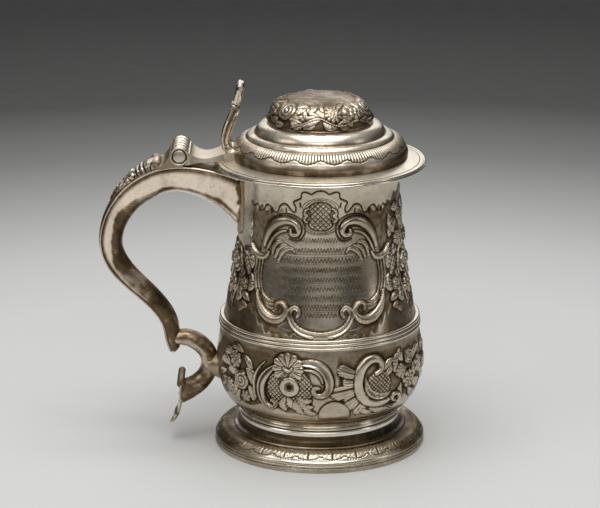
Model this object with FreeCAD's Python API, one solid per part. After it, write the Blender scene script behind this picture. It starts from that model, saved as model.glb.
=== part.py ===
# Lidded baluster tankard of silver, built from the pieces a silversmith solders together.
# Millimetres. Origin: centre of the foot on the table. +Z is up and the handle points to -X.

import FreeCAD, Part
import math
import os

V = FreeCAD.Vector

# ---------------------------------------------------------------- driving dimensions
SHEET = 1.0                # thickness of the body's raised sheet
LID_SHEET = 1.2            # thickness of the lid's raised sheet
BOSS_SHEET = 1.0           # thickness of the lid's cap
HANDLE_WALL = 1.0          # thickness of the hollow handle's sheet

FOOT_R = 58.2              # radius on the table
FOOT_RIM_TOP = 4.0         # top of the rim wire
NECK_TOP = 18.3            # underside of the vessel's bottom
LIP_Z = 161.3              # top of the mouth
FLANGE_R = 57.7            # outer radius of the lid
LID_GAP = 0.3              # space between the closed lid and the lip
FLANGE_Z = LIP_Z + LID_GAP
BEZEL_R = 43.2             # outside of the ring that centres the lid
SKIRT_R = 47.3             # where the lid's skirt stands on the flange
WIRE_R = 56.2              # inside of the wire on the flange's edge

GIRDLE_LOW, GIRDLE_HIGH = 68.2, 74.2
GIRDLE_REEDS = 4

HINGE_X, HINGE_Z = -76.0, 165.3
BARREL_R = 5.0
PIN_R = 1.5
PIN_CLEARANCE = 0.05       # radial, in the two knuckles that turn with the lid
KNUCKLES = 5
KNUCKLE_LENGTH = 5.2
KNUCKLE_GAP = 0.2
BARREL_CLEARANCE = 0.3     # between the barrel and the plates beside it
BARREL_HALF = (KNUCKLES * KNUCKLE_LENGTH + (KNUCKLES - 1) * KNUCKLE_GAP) / 2
CAP_R, CAP_THICK = 3.5, 0.9

STRAP_EDGE = 0.8           # the handle strap's thickness at its sides
STRAP_CROWN = 1.5          # and along its middle
STRAP_OVERHANG = 0.3       # how far it stands past the channel

# Outside of the drum and belly, from the bottom's edge up to the mouth: radius, height
BODY_CURVE = [
    (43.2, 20.6), (49.9, 26.4), (54.6, 34.2), (56.8, 43.5), (56.8, 53.0), (54.9, 66.0),
    (51.5, 80.5), (47.6, 97.5), (44.8, 116.0), (43.9, 134.0), (44.4, 150.0), (47.0, LIP_Z),
]

# Main handle loop, from inside the drum over the crown to the tail.
# Each station lies on the seam between strap and channel: x, z, width, depth of the D section.
HANDLE_STATIONS = [
    (-36.0, 148.0, 22.0, 25.4), (-48.0, 152.8, 22.8, 20.6), (-62.0, 156.7, 24.0, 17.0),
    (-79.0, 158.2, 24.0, 15.0), (-96.0, 153.0, 20.5, 14.6), (-110.3, 140.6, 17.5, 13.2),
    (-118.2, 125.0, 15.5, 12.0), (-118.9, 110.0, 14.5, 11.0), (-107.7, 91.8, 13.5, 9.6),
    (-91.4, 76.3, 12.5, 8.2), (-85.6, 66.5, 11.5, 7.6), (-83.5, 56.5, 10.5, 6.2),
    (-81.6, 51.9, 9.5, 3.2),
]

# Lower scroll, from inside the tail round to the terminal: centre x, z, width, half depth.
SCROLL_STATIONS = [
    (-81.0, 58.2, 9.5, 4.0), (-75.0, 59.0, 10.5, 4.6), (-67.4, 56.0, 11.0, 4.9),
    (-62.0, 50.0, 11.0, 4.9), (-61.0, 43.0, 11.0, 4.9), (-63.8, 36.2, 11.0, 5.0),
    (-69.6, 30.8, 11.0, 5.6), (-79.5, 26.6, 11.0, 7.0),
]

# Acanthus leaf on the strap: x, z on the seam, width, height above the strap.
LEAF_STATIONS = [
    (-89.0, 156.4, 15.0, 3.2), (-96.0, 153.0, 15.5, 3.4), (-103.5, 147.3, 12.0, 2.8),
    (-108.3, 142.8, 7.0, 1.9), (-111.5, 139.0, 2.0, 0.8),
]
VOLUTE_X, VOLUTE_Z, VOLUTE_R, VOLUTE_HALF = -89.3, 160.5, 3.1, 8.5


# ---------------------------------------------------------------- outlines and solids
def line(x, z):
    return [("line", (x, z))]


def arc(mid_x, mid_z, x, z):
    return [("arc", (mid_x, mid_z), (x, z))]


def curve(*points):
    return [("curve",) + points]


def in_plane(point):
    return V(point[0], 0, point[1])


def outline(start, *steps):
    """Edges in the XZ plane, drawn from start through lines, arcs and smooth curves."""
    here = in_plane(start)
    edges = []
    for step in [one for group in steps for one in group]:
        end = in_plane(step[-1])
        if step[0] == "line":
            edges.append(Part.LineSegment(here, end).toShape())
        elif step[0] == "arc":
            edges.append(Part.Arc(here, in_plane(step[1]), end).toShape())
        else:
            spline = Part.BSplineCurve()
            spline.interpolate([here] + [in_plane(p) for p in step[1:]])
            edges.append(spline.toShape())
        here = end
    return Part.Wire(edges)


def closed_face(start, *steps):
    wire = outline(start, *steps)
    ends = [edge.valueAt(edge.LastParameter) for edge in wire.OrderedEdges]
    gap = (ends[-1] - in_plane(start)).Length
    if gap > 1e-6:
        closing = Part.LineSegment(ends[-1], in_plane(start)).toShape()
        wire = Part.Wire(wire.OrderedEdges + [closing])
    return Part.Face(wire)


def spin(face):
    """Turn a face once round the vessel's axis."""
    return face.revolve(V(0, 0, 0), V(0, 0, 1), 360)


def ring(start, *steps):
    return spin(closed_face(start, *steps))


def inside_points(points, thickness):
    """Points of a sheet's inner face, square to a smooth outer curve through the given points."""
    spline = Part.BSplineCurve()
    spline.interpolate([in_plane(point) for point in points])
    inner = []
    for point in points:
        tangent = spline.tangent(spline.parameter(in_plane(point)))[0]
        inner.append((point[0] - thickness * tangent.z, point[1] + thickness * tangent.x))
    return inner


def bar(face_start, half_width, *steps):
    """A solid with an XZ outline, centred on the handle's plane."""
    face = closed_face(face_start, *steps)
    face.translate(V(0, -half_width, 0))
    return face.extrude(V(0, 2 * half_width, 0))


def rod(radius, x, z, y_low, y_high):
    """A cylinder across the handle's plane."""
    return Part.makeCylinder(radius, y_high - y_low, V(x, y_low, z), V(0, 1, 0))


def seam_spline(stations):
    spline = Part.BSplineCurve()
    spline.interpolate([in_plane(station) for station in stations])
    return spline


def section_frame(spline, station):
    """Where a station lies, and the unit vector that points into the D section from there."""
    place = in_plane(station)
    tangent = spline.tangent(spline.parameter(place))[0]
    return place, V(-tangent.z, 0, tangent.x)


def half_oval(place, inward, half_width, depth, fullness=0.8, count=8):
    """A curve from one side of a D section, round its inner face, to the other side."""
    points = []
    for step in range(count + 1):
        angle = math.pi * step / count
        across = math.copysign(abs(math.cos(angle)) ** fullness, math.cos(angle)) * half_width
        deep = abs(math.sin(angle)) ** fullness * depth
        points.append(place + V(0, across, 0) + inward * deep)
    spline = Part.BSplineCurve()
    spline.interpolate(points)
    return spline.toShape()


def joined(first, second):
    """Close the outline between two open curves that run opposite ways."""
    a = first.valueAt(first.LastParameter)
    b = second.valueAt(second.FirstParameter)
    c = second.valueAt(second.LastParameter)
    d = first.valueAt(first.FirstParameter)
    return Part.Wire([first, Part.LineSegment(a, b).toShape(), second,
                      Part.LineSegment(c, d).toShape()])


def loft(wires):
    return Part.makeLoft(wires, True, False)


def main_solid(shape):
    """The largest piece that a cut leaves."""
    return max(shape.Solids, key=lambda solid: solid.Volume)


# ---------------------------------------------------------------- vessel
def body_solid(extra=0.0):
    """The drum and belly filled in, with its outer surface moved out by extra."""
    grown = [(r + extra, z) for r, z in BODY_CURVE[1:]]
    return ring((0, NECK_TOP), line(41.0 + extra, NECK_TOP),
                arc(42.5 + extra, 19.1, BODY_CURVE[0][0] + extra, BODY_CURVE[0][1]),
                curve(*grown), line(0, LIP_Z))


def make_body_shell(body):
    """The filled body less its hollow, which is open at the mouth."""
    wall = inside_points(BODY_CURVE, SHEET)
    top_r = wall[-1][0]
    hollow = ring((0, NECK_TOP + SHEET), line(40.8, NECK_TOP + SHEET), line(*wall[0]),
                  curve(*wall[1:-1], (top_r, LIP_Z)), line(top_r, LIP_Z + 5), line(0, LIP_Z + 5))
    return body.cut(hollow)


def make_lip_wire(body):
    moulding = ring((42.0, 156.4), line(45.7, 156.4), arc(47.0, 156.9, 47.2, 158.4),
                    arc(47.3, 159.2, 48.0, 159.6), arc(48.3, 160.6, 47.6, LIP_Z),
                    line(42.0, LIP_Z))
    return moulding.cut(body)


def make_girdle_band(body):
    pitch = (GIRDLE_HIGH - GIRDLE_LOW) / GIRDLE_REEDS
    low_r, high_r = 55.1, 54.2
    steps = [line(low_r, GIRDLE_LOW)]
    for reed in range(GIRDLE_REEDS):
        radii = [low_r + (high_r - low_r) * (reed + part) / GIRDLE_REEDS for part in (0.5, 1.0)]
        base = GIRDLE_LOW + reed * pitch
        steps.append(arc(radii[0] + 0.55 * pitch, base + 0.5 * pitch, radii[1], base + pitch))
    steps.append(line(50.0, GIRDLE_HIGH))
    return ring((50.0, GIRDLE_LOW), *steps).cut(body)


def foot_outline():
    return [arc(58.0, 5.1, 57.2, 6.2), arc(53.9, 9.5, 47.8, 10.3), line(47.5, 11.0),
            line(46.1, 11.3), arc(44.3, 12.7, 43.7, 15.6), line(42.6, NECK_TOP)]


def make_foot_dome():
    return ring((57.6, FOOT_RIM_TOP), *foot_outline(), line(41.3, NECK_TOP), line(42.4, 15.3),
                arc(42.9, 12.0, 45.3, 10.0), line(46.4, 9.2), arc(52.8, 8.3, 56.3, 5.2),
                line(56.3, FOOT_RIM_TOP))


def make_foot_rim():
    return ring((55.6, 0), line(57.8, 0), arc(58.1, 0.1, FOOT_R, 0.4), line(FOOT_R, 2.7),
                arc(58.0, 3.5, 57.5, FOOT_RIM_TOP), line(55.6, FOOT_RIM_TOP))


def make_foot_collar(body, foot_filled):
    moulding = ring((39.0, 15.6), line(43.7, 15.6), arc(45.0, 17.0, 43.9, 18.6),
                    line(43.7, 19.0), arc(44.1, 19.5, 43.6, 20.1), line(43.1, 20.6),
                    line(39.0, 20.6))
    return moulding.cut(body).cut(foot_filled)


# ---------------------------------------------------------------- handle
def handle_solid():
    """The whole D section of the main loop, filled in."""
    spline = seam_spline(HANDLE_STATIONS)
    wires = []
    for x, z, width, depth in HANDLE_STATIONS:
        place, inward = section_frame(spline, (x, z))
        round_side = half_oval(place, inward, width / 2, depth)
        ends = [place + V(0, side * width / 2, 0) for side in (-1, 1)]
        wires.append(Part.Wire([round_side, Part.LineSegment(*ends).toShape()]))
    return loft(wires)


def make_handle_channel():
    spline = seam_spline(HANDLE_STATIONS)
    wires = []
    for x, z, width, depth in HANDLE_STATIONS:
        place, inward = section_frame(spline, (x, z))
        outside = half_oval(place, inward, width / 2, depth)
        inside = half_oval(place, inward, HANDLE_WALL - width / 2, depth - HANDLE_WALL)
        wires.append(joined(outside, inside))
    return loft(wires)


def make_handle_strap():
    spline = seam_spline(HANDLE_STATIONS)
    wires = []
    for x, z, width, _ in HANDLE_STATIONS:
        place, inward = section_frame(spline, (x, z))
        half = width / 2 + STRAP_OVERHANG
        low_front, low_back = (place + V(0, side * half, 0) for side in (-1, 1))
        high_front, high_back = (p - inward * STRAP_EDGE for p in (low_front, low_back))
        crown = Part.Arc(high_front, place - inward * STRAP_CROWN, high_back).toShape()
        wires.append(Part.Wire([
            Part.LineSegment(low_front, high_front).toShape(), crown,
            Part.LineSegment(high_back, low_back).toShape(),
            Part.LineSegment(low_back, low_front).toShape()]))
    return loft(wires)


def make_tail_cap():
    """A plate over the open end of the channel, under the end of the strap."""
    spline = seam_spline(HANDLE_STATIONS)
    x, z, width, depth = HANDLE_STATIONS[-1]
    place, inward = section_frame(spline, (x, z))
    round_side = half_oval(place, inward, width / 2, depth)
    ends = [place + V(0, side * width / 2, 0) for side in (-1, 1)]
    face = Part.Face(Part.Wire([round_side, Part.LineSegment(*ends).toShape()]))
    along = spline.tangent(spline.parameter(in_plane((x, z))))[0]
    return face.extrude(along * HANDLE_WALL)


def below_strap():
    """Everything under the strap's edges, across the full width of the hinge."""
    spline = seam_spline(HANDLE_STATIONS)
    upper = []
    for x, z, _, _ in HANDLE_STATIONS[1:6]:
        place, inward = section_frame(spline, (x, z))
        edge = place - inward * STRAP_EDGE
        upper.append((edge.x, edge.z))
    start, *others = upper
    return bar(start, 20.0, curve(*others), line(others[-1][0], 100.0), line(start[0], 100.0))


def make_leaf(strap, handle_filled):
    spline = seam_spline(HANDLE_STATIONS)
    wires = []
    for x, z, width, height in LEAF_STATIONS:
        place, inward = section_frame(spline, (x, z))
        top = half_oval(place, inward * -1, width / 2, STRAP_CROWN + height, fullness=1.0)
        ends = [place + V(0, side * width / 2, 0) for side in (-1, 1)]
        wires.append(Part.Wire([top, Part.LineSegment(*ends).toShape()]))
    volute = rod(VOLUTE_R, VOLUTE_X, VOLUTE_Z, -VOLUTE_HALF, VOLUTE_HALF)
    return main_solid(loft(wires).fuse(volute).cut(strap).cut(handle_filled))


def scroll_wires(side, wall=None):
    """Sections of the lower scroll: one hollow half, or the whole filled in when wall is None."""
    spline = seam_spline(SCROLL_STATIONS)
    wires = []
    for x, z, width, half_depth in SCROLL_STATIONS:
        place, inward = section_frame(spline, (x, z))
        curves = []
        for thickness, turn in ((0.0, 1), (wall, -1)):
            reach = half_depth - thickness
            bulge = V(0, side * (width / 2 - thickness), 0)
            points = []
            for step in range(9):
                angle = turn * math.pi * (step / 8 - 0.5)
                points.append(place + inward * (reach * math.sin(angle))
                              + bulge * math.cos(angle))
            half = Part.BSplineCurve()
            half.interpolate(points)
            curves.append(half.toShape())
        wires.append(joined(*curves))
    return wires


def scroll_filled():
    """The lower scroll's whole oval section, filled in."""
    spline = seam_spline(SCROLL_STATIONS)
    wires = []
    for x, z, width, half_depth in SCROLL_STATIONS:
        place, inward = section_frame(spline, (x, z))
        points = []
        for step in range(16):
            angle = 2 * math.pi * step / 16
            points.append(place + inward * (half_depth * math.sin(angle))
                          + V(0, width / 2 * math.cos(angle), 0))
        oval = Part.BSplineCurve()
        oval.interpolate(points, PeriodicFlag=True)
        wires.append(Part.Wire(oval.toShape()))
    return loft(wires)


def make_socket_plate(body, body_grown):
    pad = Part.makeBox(30, 28, 34.5, V(-60, -14, 121.0))
    corners = [edge for edge in pad.Edges if abs(edge.tangentAt(0).x) > 0.9]
    return body_grown.cut(body).common(pad.makeFillet(5.0, corners))


def make_lower_socket(body, scroll):
    """A short waisted spool, turned about a level axis through the belly's widest part."""
    face = closed_face((-62.0, 43.3), line(-62.0, 49.6), line(-60.2, 49.6),
                       arc(-59.0, 49.9, -54.5, 52.2), line(-54.5, 43.3))
    spool = face.revolve(V(-62.0, 0, 43.3), V(1, 0, 0), 360)
    return spool.cut(body).cut(scroll)


# ---------------------------------------------------------------- terminal
SHIELD_HALF = 12.5
SHIELD_THICK = 1.8


def make_terminal_shield():
    """A cartouche plate whose top is rolled over and whose tip flicks outwards."""
    half = SHIELD_THICK / 2
    plate = bar((-77.0 + half, 35.0), SHIELD_HALF,
                curve((-76.8 + half, 28.0), (-77.3 + half, 21.5), (-79.4 + half, 14.5),
                      (-82.4, 9.0)), line(-83.8, 9.3),
                curve((-81.1, 15.2), (-77.4 - half, 22.0), (-76.8 - half, 28.0),
                      (-77.0 - half, 35.0)))
    outline_yz = Part.Wire([
        Part.LineSegment(V(0, -12.5, 37.5), V(0, 12.5, 37.5)).toShape(),
        Part.LineSegment(V(0, 12.5, 37.5), V(0, 12.5, 33.0)).toShape(),
        Part.Arc(V(0, 12.5, 33.0), V(0, 9.6, 30.0), V(0, 11.0, 26.0)).toShape(),
        Part.Arc(V(0, 11.0, 26.0), V(0, 8.8, 17.0), V(0, 1.2, 8.9)).toShape(),
        Part.LineSegment(V(0, 1.2, 8.9), V(0, -1.2, 8.9)).toShape(),
        Part.Arc(V(0, -1.2, 8.9), V(0, -8.8, 17.0), V(0, -11.0, 26.0)).toShape(),
        Part.Arc(V(0, -11.0, 26.0), V(0, -9.6, 30.0), V(0, -12.5, 33.0)).toShape(),
        Part.LineSegment(V(0, -12.5, 33.0), V(0, -12.5, 37.5)).toShape()])
    cartouche = Part.Face(outline_yz)
    cartouche.translate(V(-90, 0, 0))
    plate = plate.common(cartouche.extrude(V(30, 0, 0)))
    roll = rod(2.1, -76.9, 35.5, -SHIELD_HALF, SHIELD_HALF)
    curl = rod(1.5, -80.9, 14.2, -6.0, 6.0)
    return plate.fuse([roll, curl])


# ---------------------------------------------------------------- hinge
def knuckle_span(index):
    low = -BARREL_HALF + index * (KNUCKLE_LENGTH + KNUCKLE_GAP)
    return low, low + KNUCKLE_LENGTH


def barrel(radius, low=-BARREL_HALF - 2, high=BARREL_HALF + 2):
    return rod(radius, HINGE_X, HINGE_Z, low, high)


def seat_blank():
    """Seat and webs in one, from the handle's back up to the barrel."""
    return bar((-87.6, 150.0), BARREL_HALF, line(-73.8, 150.0), line(-73.8, 159.4),
               arc(-74.2, 160.2, -74.4, 162.4), line(HINGE_X, HINGE_Z), line(-81.0, 167.4),
               curve((-82.6, 163.3), (-85.0, 160.6), (-87.6, 159.4)))


def strap_blank():
    """The lid's hinge strap, from inside the barrel to inside the lid's skirt."""
    inner_x = HINGE_X + 3
    blank = bar((inner_x, 160.3), BARREL_HALF, line(-68.0, 160.8), line(-61.0, 161.6),
                line(-57.0, 161.6), line(-57.0, 160.0), line(-44.0, 160.0), line(-44.0, 167.0),
                line(-50.5, 167.0), curve((-56.0, 164.6), (-62.7, 163.3), (-67.6, 164.8),
                                          (-70.3, 167.2)), line(inner_x, 167.2))
    top_view = Part.Wire([
        Part.LineSegment(V(-80, -BARREL_HALF, 0), V(-70.2, -BARREL_HALF, 0)).toShape(),
        Part.Arc(V(-70.2, -BARREL_HALF, 0), V(-62.5, -10.0, 0), V(-52.0, -12.0, 0)).toShape(),
        Part.LineSegment(V(-52.0, -12.0, 0), V(-40.0, -12.0, 0)).toShape(),
        Part.LineSegment(V(-40.0, -12.0, 0), V(-40.0, 12.0, 0)).toShape(),
        Part.LineSegment(V(-40.0, 12.0, 0), V(-52.0, 12.0, 0)).toShape(),
        Part.Arc(V(-52.0, 12.0, 0), V(-62.5, 10.0, 0), V(-70.2, BARREL_HALF, 0)).toShape(),
        Part.LineSegment(V(-70.2, BARREL_HALF, 0), V(-80, BARREL_HALF, 0)).toShape(),
        Part.LineSegment(V(-80, BARREL_HALF, 0), V(-80, -BARREL_HALF, 0)).toShape()])
    plan = Part.Face(top_view)
    plan.translate(V(0, 0, 150))
    return blank.common(plan.extrude(V(0, 0, 30)))


def make_knuckle(index, web_blank, bore_r):
    low, high = knuckle_span(index)
    slab = Part.makeBox(40, high - low, 40, V(HINGE_X - 20, low, HINGE_Z - 20))
    web = web_blank.common(barrel(BARREL_R + BARREL_CLEARANCE)).common(slab)
    return barrel(BARREL_R, low, high).fuse(web).removeSplitter().cut(barrel(bore_r))


def make_pin_cap(side):
    """A bright, slightly domed disc over one end of the barrel."""
    start = side * BARREL_HALF
    face = closed_face((0, 0), line(CAP_R, 0), line(CAP_R, 0.5),
                       line(CAP_R - 1.0, 0.8), line(1.0, CAP_THICK), line(0, CAP_THICK))
    cap = spin(face)
    cap.rotate(V(0, 0, 0), V(1, 0, 0), -90 * side)
    cap.translate(V(HINGE_X, start, HINGE_Z))
    return cap


# ---------------------------------------------------------------- lid
def dome_outline():
    """From the flange up the cushion skirt, over two reeds and the shoulder to the boss."""
    return [arc(47.8, 166.0, 46.3, 169.2), arc(44.1, 172.1, 40.9, 173.8), line(40.3, 173.7),
            arc(38.8, 175.6, 36.1, 176.3), line(35.6, 176.1), arc(33.6, 179.9, 28.0, 181.8),
            line(27.2, 182.0)]


def make_lid_dome():
    seat_z = FLANGE_Z + LID_SHEET
    return ring((SKIRT_R, seat_z), *dome_outline(), line(27.2, 180.8),
                arc(32.6, 179.2, 34.9, 175.0), line(35.9, 175.1), arc(38.2, 174.6, 39.9, 172.6),
                line(40.5, 172.6), arc(43.3, 171.2, 45.2, 168.7),
                arc(46.7, 166.0, SKIRT_R - LID_SHEET, seat_z))


def make_lid_boss():
    """A bun-shaped cap, fullest just above its base and nearly flat on top."""
    over = [(28.9, 183.2), (28.3, 185.7), (26.8, 188.6), (24.8, 191.2), (21.6, 193.5),
            (16.5, 194.9), (9.0, 195.6), (0, 195.8)]
    under = inside_points([(28.2, 181.9)] + over, BOSS_SHEET)
    under.reverse()
    top_z = under[0][1]
    return ring((28.2, 181.9), curve(*over), line(0, top_z),
                curve(*under[1:-1], (28.2 - BOSS_SHEET, 181.9)))


def make_lid_flange():
    seat_z = FLANGE_Z + LID_SHEET
    return ring((42.0, FLANGE_Z), line(49.4, FLANGE_Z), line(WIRE_R, 159.4), line(WIRE_R, 160.7),
                line(SKIRT_R + 0.5, seat_z), line(42.0, seat_z))


def make_lid_edge_wire():
    """Two reeds, the lower one proud, that stiffen the flange's edge."""
    return ring((WIRE_R, 158.8), line(57.1, 158.6), arc(FLANGE_R, 159.3, 57.2, 160.0),
                line(57.0, 160.2), arc(57.1, 160.9, 56.5, 161.2), line(WIRE_R, 161.1))


def make_lid_bezel():
    return ring((42.2, 156.4), arc(42.7, 156.0, BEZEL_R, 156.4), line(BEZEL_R, FLANGE_Z),
                line(42.2, FLANGE_Z))


def lid_envelope():
    """The lid's outside, filled in, with a plain band round its reeded edge."""
    seat_z = FLANGE_Z + LID_SHEET
    return ring((0, 158.6), line(FLANGE_R, 158.6), line(FLANGE_R, 161.3), line(WIRE_R, 161.3),
                line(WIRE_R, 160.7), line(SKIRT_R + 0.5, seat_z), line(SKIRT_R, seat_z),
                *dome_outline(), line(0, 182.0))


def make_thumbpiece(lid, strap):
    """A curved stem that narrows to a knop and collar, with a blade for the thumb."""
    stem = bar((-56.0, 164.0), 12.0, line(-56.0, 167.4),
               curve((-54.9, 172.5), (-52.8, 178.5), (-50.2, 184.0), (-47.9, 189.0)),
               line(-44.9, 189.0),
               curve((-46.4, 184.0), (-49.0, 178.5), (-50.2, 173.5), (-48.6, 170.6),
                     (-44.5, 169.8)), line(-44.5, 164.0))
    stem_front = Part.Wire([
        Part.LineSegment(V(0, -11.0, 164), V(0, 11.0, 164)).toShape(),
        Part.LineSegment(V(0, 11.0, 164), V(0, 11.0, 169)).toShape(),
        Part.Arc(V(0, 11.0, 169), V(0, 5.2, 178), V(0, 2.4, 189)).toShape(),
        Part.LineSegment(V(0, 2.4, 189), V(0, -2.4, 189)).toShape(),
        Part.Arc(V(0, -2.4, 189), V(0, -5.2, 178), V(0, -11.0, 169)).toShape(),
        Part.LineSegment(V(0, -11.0, 169), V(0, -11.0, 164)).toShape()])
    stem_view = Part.Face(stem_front)
    stem_view.translate(V(-60, 0, 0))
    stem = stem.common(stem_view.extrude(V(20, 0, 0)))

    knop_line = closed_face((0, 188.6), line(1.6, 188.6), arc(2.2, 190.0, 1.5, 191.3),
                            line(2.3, 191.8), arc(2.5, 192.4, 2.2, 193.0), line(0, 193.0))
    knop = spin(knop_line)
    knop.translate(V(-46.0, 0, 0))
    knop.rotate(V(-46.0, 0, 190.4), V(0, 1, 0), 14)

    blade = bar((-46.9, 192.2), 8.0, curve((-45.9, 198.0), (-44.9, 202.6)),
                arc(-43.2, 204.2, -41.4, 202.6), curve((-42.0, 198.0), (-43.4, 192.2)))
    blade_front = Part.Wire([
        Part.LineSegment(V(0, -2.4, 192.2), V(0, 2.4, 192.2)).toShape(),
        Part.Arc(V(0, 2.4, 192.2), V(0, 5.0, 196.8), V(0, 7.0, 200.0)).toShape(),
        Part.Arc(V(0, 7.0, 200.0), V(0, 0, 204.6), V(0, -7.0, 200.0)).toShape(),
        Part.Arc(V(0, -7.0, 200.0), V(0, -5.0, 196.8), V(0, -2.4, 192.2)).toShape()])
    blade_view = Part.Face(blade_front)
    blade_view.translate(V(-60, 0, 0))
    blade = blade.common(blade_view.extrude(V(30, 0, 0)))
    return stem.fuse([knop, blade]).cut(lid).cut(strap)


# ---------------------------------------------------------------- assembly
def build():
    parts = {}
    body = body_solid()
    body_grown = body_solid(0.9)

    parts["body_shell"] = make_body_shell(body)
    parts["lip_wire"] = make_lip_wire(body)
    parts["girdle_band"] = make_girdle_band(body)
    parts["foot_dome"] = make_foot_dome()
    parts["foot_rim"] = make_foot_rim()
    foot_filled = ring((0, FOOT_RIM_TOP), line(57.6, FOOT_RIM_TOP), *foot_outline(),
                       line(0, NECK_TOP))
    parts["foot_collar"] = make_foot_collar(body, foot_filled)

    socket_plate = make_socket_plate(body, body_grown)
    parts["upper_socket_plate"] = socket_plate
    parts["handle_strap"] = make_handle_strap().cut(body_grown)
    channel = make_handle_channel().cut(body_grown).cut(parts["handle_strap"])
    parts["handle_channel"] = main_solid(channel)
    parts["handle_tail_cap"] = make_tail_cap()
    handle_filled = handle_solid()
    parts["handle_leaf"] = make_leaf(parts["handle_strap"], handle_filled)

    parts["terminal_shield"] = make_terminal_shield()
    scroll = scroll_filled()
    behind_shield = Part.makeBox(20, 40, 40, V(-96.0, -20, 5))
    for side, name in ((-1, "scroll_front_half"), (1, "scroll_back_half")):
        half = loft(scroll_wires(side, HANDLE_WALL))
        half = half.cut(handle_filled).cut(parts["terminal_shield"]).cut(body)
        parts[name] = main_solid(half.cut(behind_shield))
    parts["lower_socket_collar"] = make_lower_socket(body, scroll)

    seat = seat_blank().cut(below_strap()).cut(parts["handle_strap"])
    gap_r = BARREL_R + BARREL_CLEARANCE
    parts["hinge_seat"] = seat.cut(barrel(gap_r, -20, 20)).cut(parts["handle_leaf"])
    strap = strap_blank().cut(lid_envelope())
    parts["lid_strap"] = strap.cut(barrel(gap_r, -20, 20))
    names = ["handle_knuckle_front", "lid_knuckle_front", "handle_knuckle_middle",
             "lid_knuckle_back", "handle_knuckle_back"]
    for index, name in enumerate(names):
        turns = name.startswith("lid")
        web = strap if turns else seat
        bore = PIN_R + PIN_CLEARANCE if turns else PIN_R
        parts[name] = make_knuckle(index, web, bore)
    parts["hinge_pin"] = barrel(PIN_R, -BARREL_HALF, BARREL_HALF)
    parts["pin_cap_front"] = make_pin_cap(-1)
    parts["pin_cap_back"] = make_pin_cap(1)

    parts["lid_flange"] = make_lid_flange()
    parts["lid_edge_wire"] = make_lid_edge_wire()
    parts["lid_dome"] = make_lid_dome()
    parts["lid_boss"] = make_lid_boss()
    parts["lid_bezel"] = make_lid_bezel()
    parts["thumbpiece"] = make_thumbpiece(lid_envelope(), parts["lid_strap"])
    return parts


os.makedirs("parts", exist_ok=True)
for node, shape in build().items():
    solids = shape.Solids
    clean = solids[0] if len(solids) == 1 else Part.makeCompound(solids)
    clean.exportStep("parts/" + node + ".step")
    print(node, len(solids), "solid,", round(shape.Volume / 1000, 2), "cm3, valid", shape.isValid())
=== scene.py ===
"""The looks of a chased silver tankard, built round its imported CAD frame. Shapes are in millimetres."""
import math
import bpy
import numpy as np
from mathutils import Matrix, Vector


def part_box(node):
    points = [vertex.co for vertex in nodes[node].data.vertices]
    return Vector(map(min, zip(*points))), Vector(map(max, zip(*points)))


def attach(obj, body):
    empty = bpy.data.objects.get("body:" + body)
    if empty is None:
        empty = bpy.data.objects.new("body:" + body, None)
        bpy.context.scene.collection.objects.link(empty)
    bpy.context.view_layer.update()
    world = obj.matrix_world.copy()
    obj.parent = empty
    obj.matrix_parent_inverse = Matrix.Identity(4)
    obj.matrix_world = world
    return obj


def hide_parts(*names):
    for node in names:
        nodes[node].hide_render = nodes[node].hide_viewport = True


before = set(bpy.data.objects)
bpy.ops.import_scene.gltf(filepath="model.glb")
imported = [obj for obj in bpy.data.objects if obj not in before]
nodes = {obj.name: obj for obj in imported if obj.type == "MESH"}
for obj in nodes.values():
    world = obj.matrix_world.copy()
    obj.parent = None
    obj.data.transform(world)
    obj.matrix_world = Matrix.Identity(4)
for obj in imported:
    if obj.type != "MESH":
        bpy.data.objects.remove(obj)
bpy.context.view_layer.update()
MM = 0.001

# ------------------------------------------------------------------ camera, lights and floor, in metres
CAMERA_AT = (-0.0109, -1.514, 0.548)
CAMERA_PITCH = 16.25
CAMERA_LENS = 172.3
# How far the painted pool of light on the floor reaches, in metres.
PAINTED_POOL_REACH = 1.2


def make_camera():
    """A long lens, looking a little down on the front."""
    camera = bpy.data.objects.new("camera", bpy.data.cameras.new("camera"))
    bpy.context.scene.collection.objects.link(camera)
    camera.location = CAMERA_AT
    camera.rotation_euler = (math.radians(90 - CAMERA_PITCH), 0, 0)
    camera.data.lens = CAMERA_LENS
    camera.data.sensor_width = 36
    bpy.context.scene.camera = camera
    bpy.context.scene.view_settings.view_transform = "Standard"


def softbox(name, at, target, width, height, watts):
    """A rectangular lamp turned to face its target."""
    lamp = bpy.data.lights.new(name, "AREA")
    lamp.shape = "RECTANGLE"
    lamp.size = width
    lamp.size_y = height
    lamp.energy = watts
    holder = bpy.data.objects.new(name, lamp)
    bpy.context.scene.collection.objects.link(holder)
    holder.location = at
    holder.rotation_mode = "QUATERNION"
    holder.rotation_quaternion = (Vector(target) - holder.location).to_track_quat("-Z", "Y")


def make_lights():
    """One big lamp overhead, banks at the left and behind, and low cards to fill."""
    softbox("overhead", (0, -0.15, 1.25), (0, 0, 0.1), 1, 0.85, 11)
    softbox("front_overhead", (0, -1.4, 1.05), (0, -1.2, 0), 1.3, 0.7, 5.5)
    softbox("left_bank", (-1.2, -0.6, 0.8), (0, 0, 0.1), 0.6, 0.8, 2.6)
    softbox("back_bank", (0, 1.6, 0.88), (0, 0, 0.15), 1.6, 1.05, 6)
    softbox("front_card", (0.15, -1.75, 0.42), (0, 0, 0.1), 1.3, 0.45, 0.62)
    softbox("right_strip", (1.15, -0.35, 0.45), (0, 0, 0.1), 0.25, 0.7, 0.9)


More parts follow.
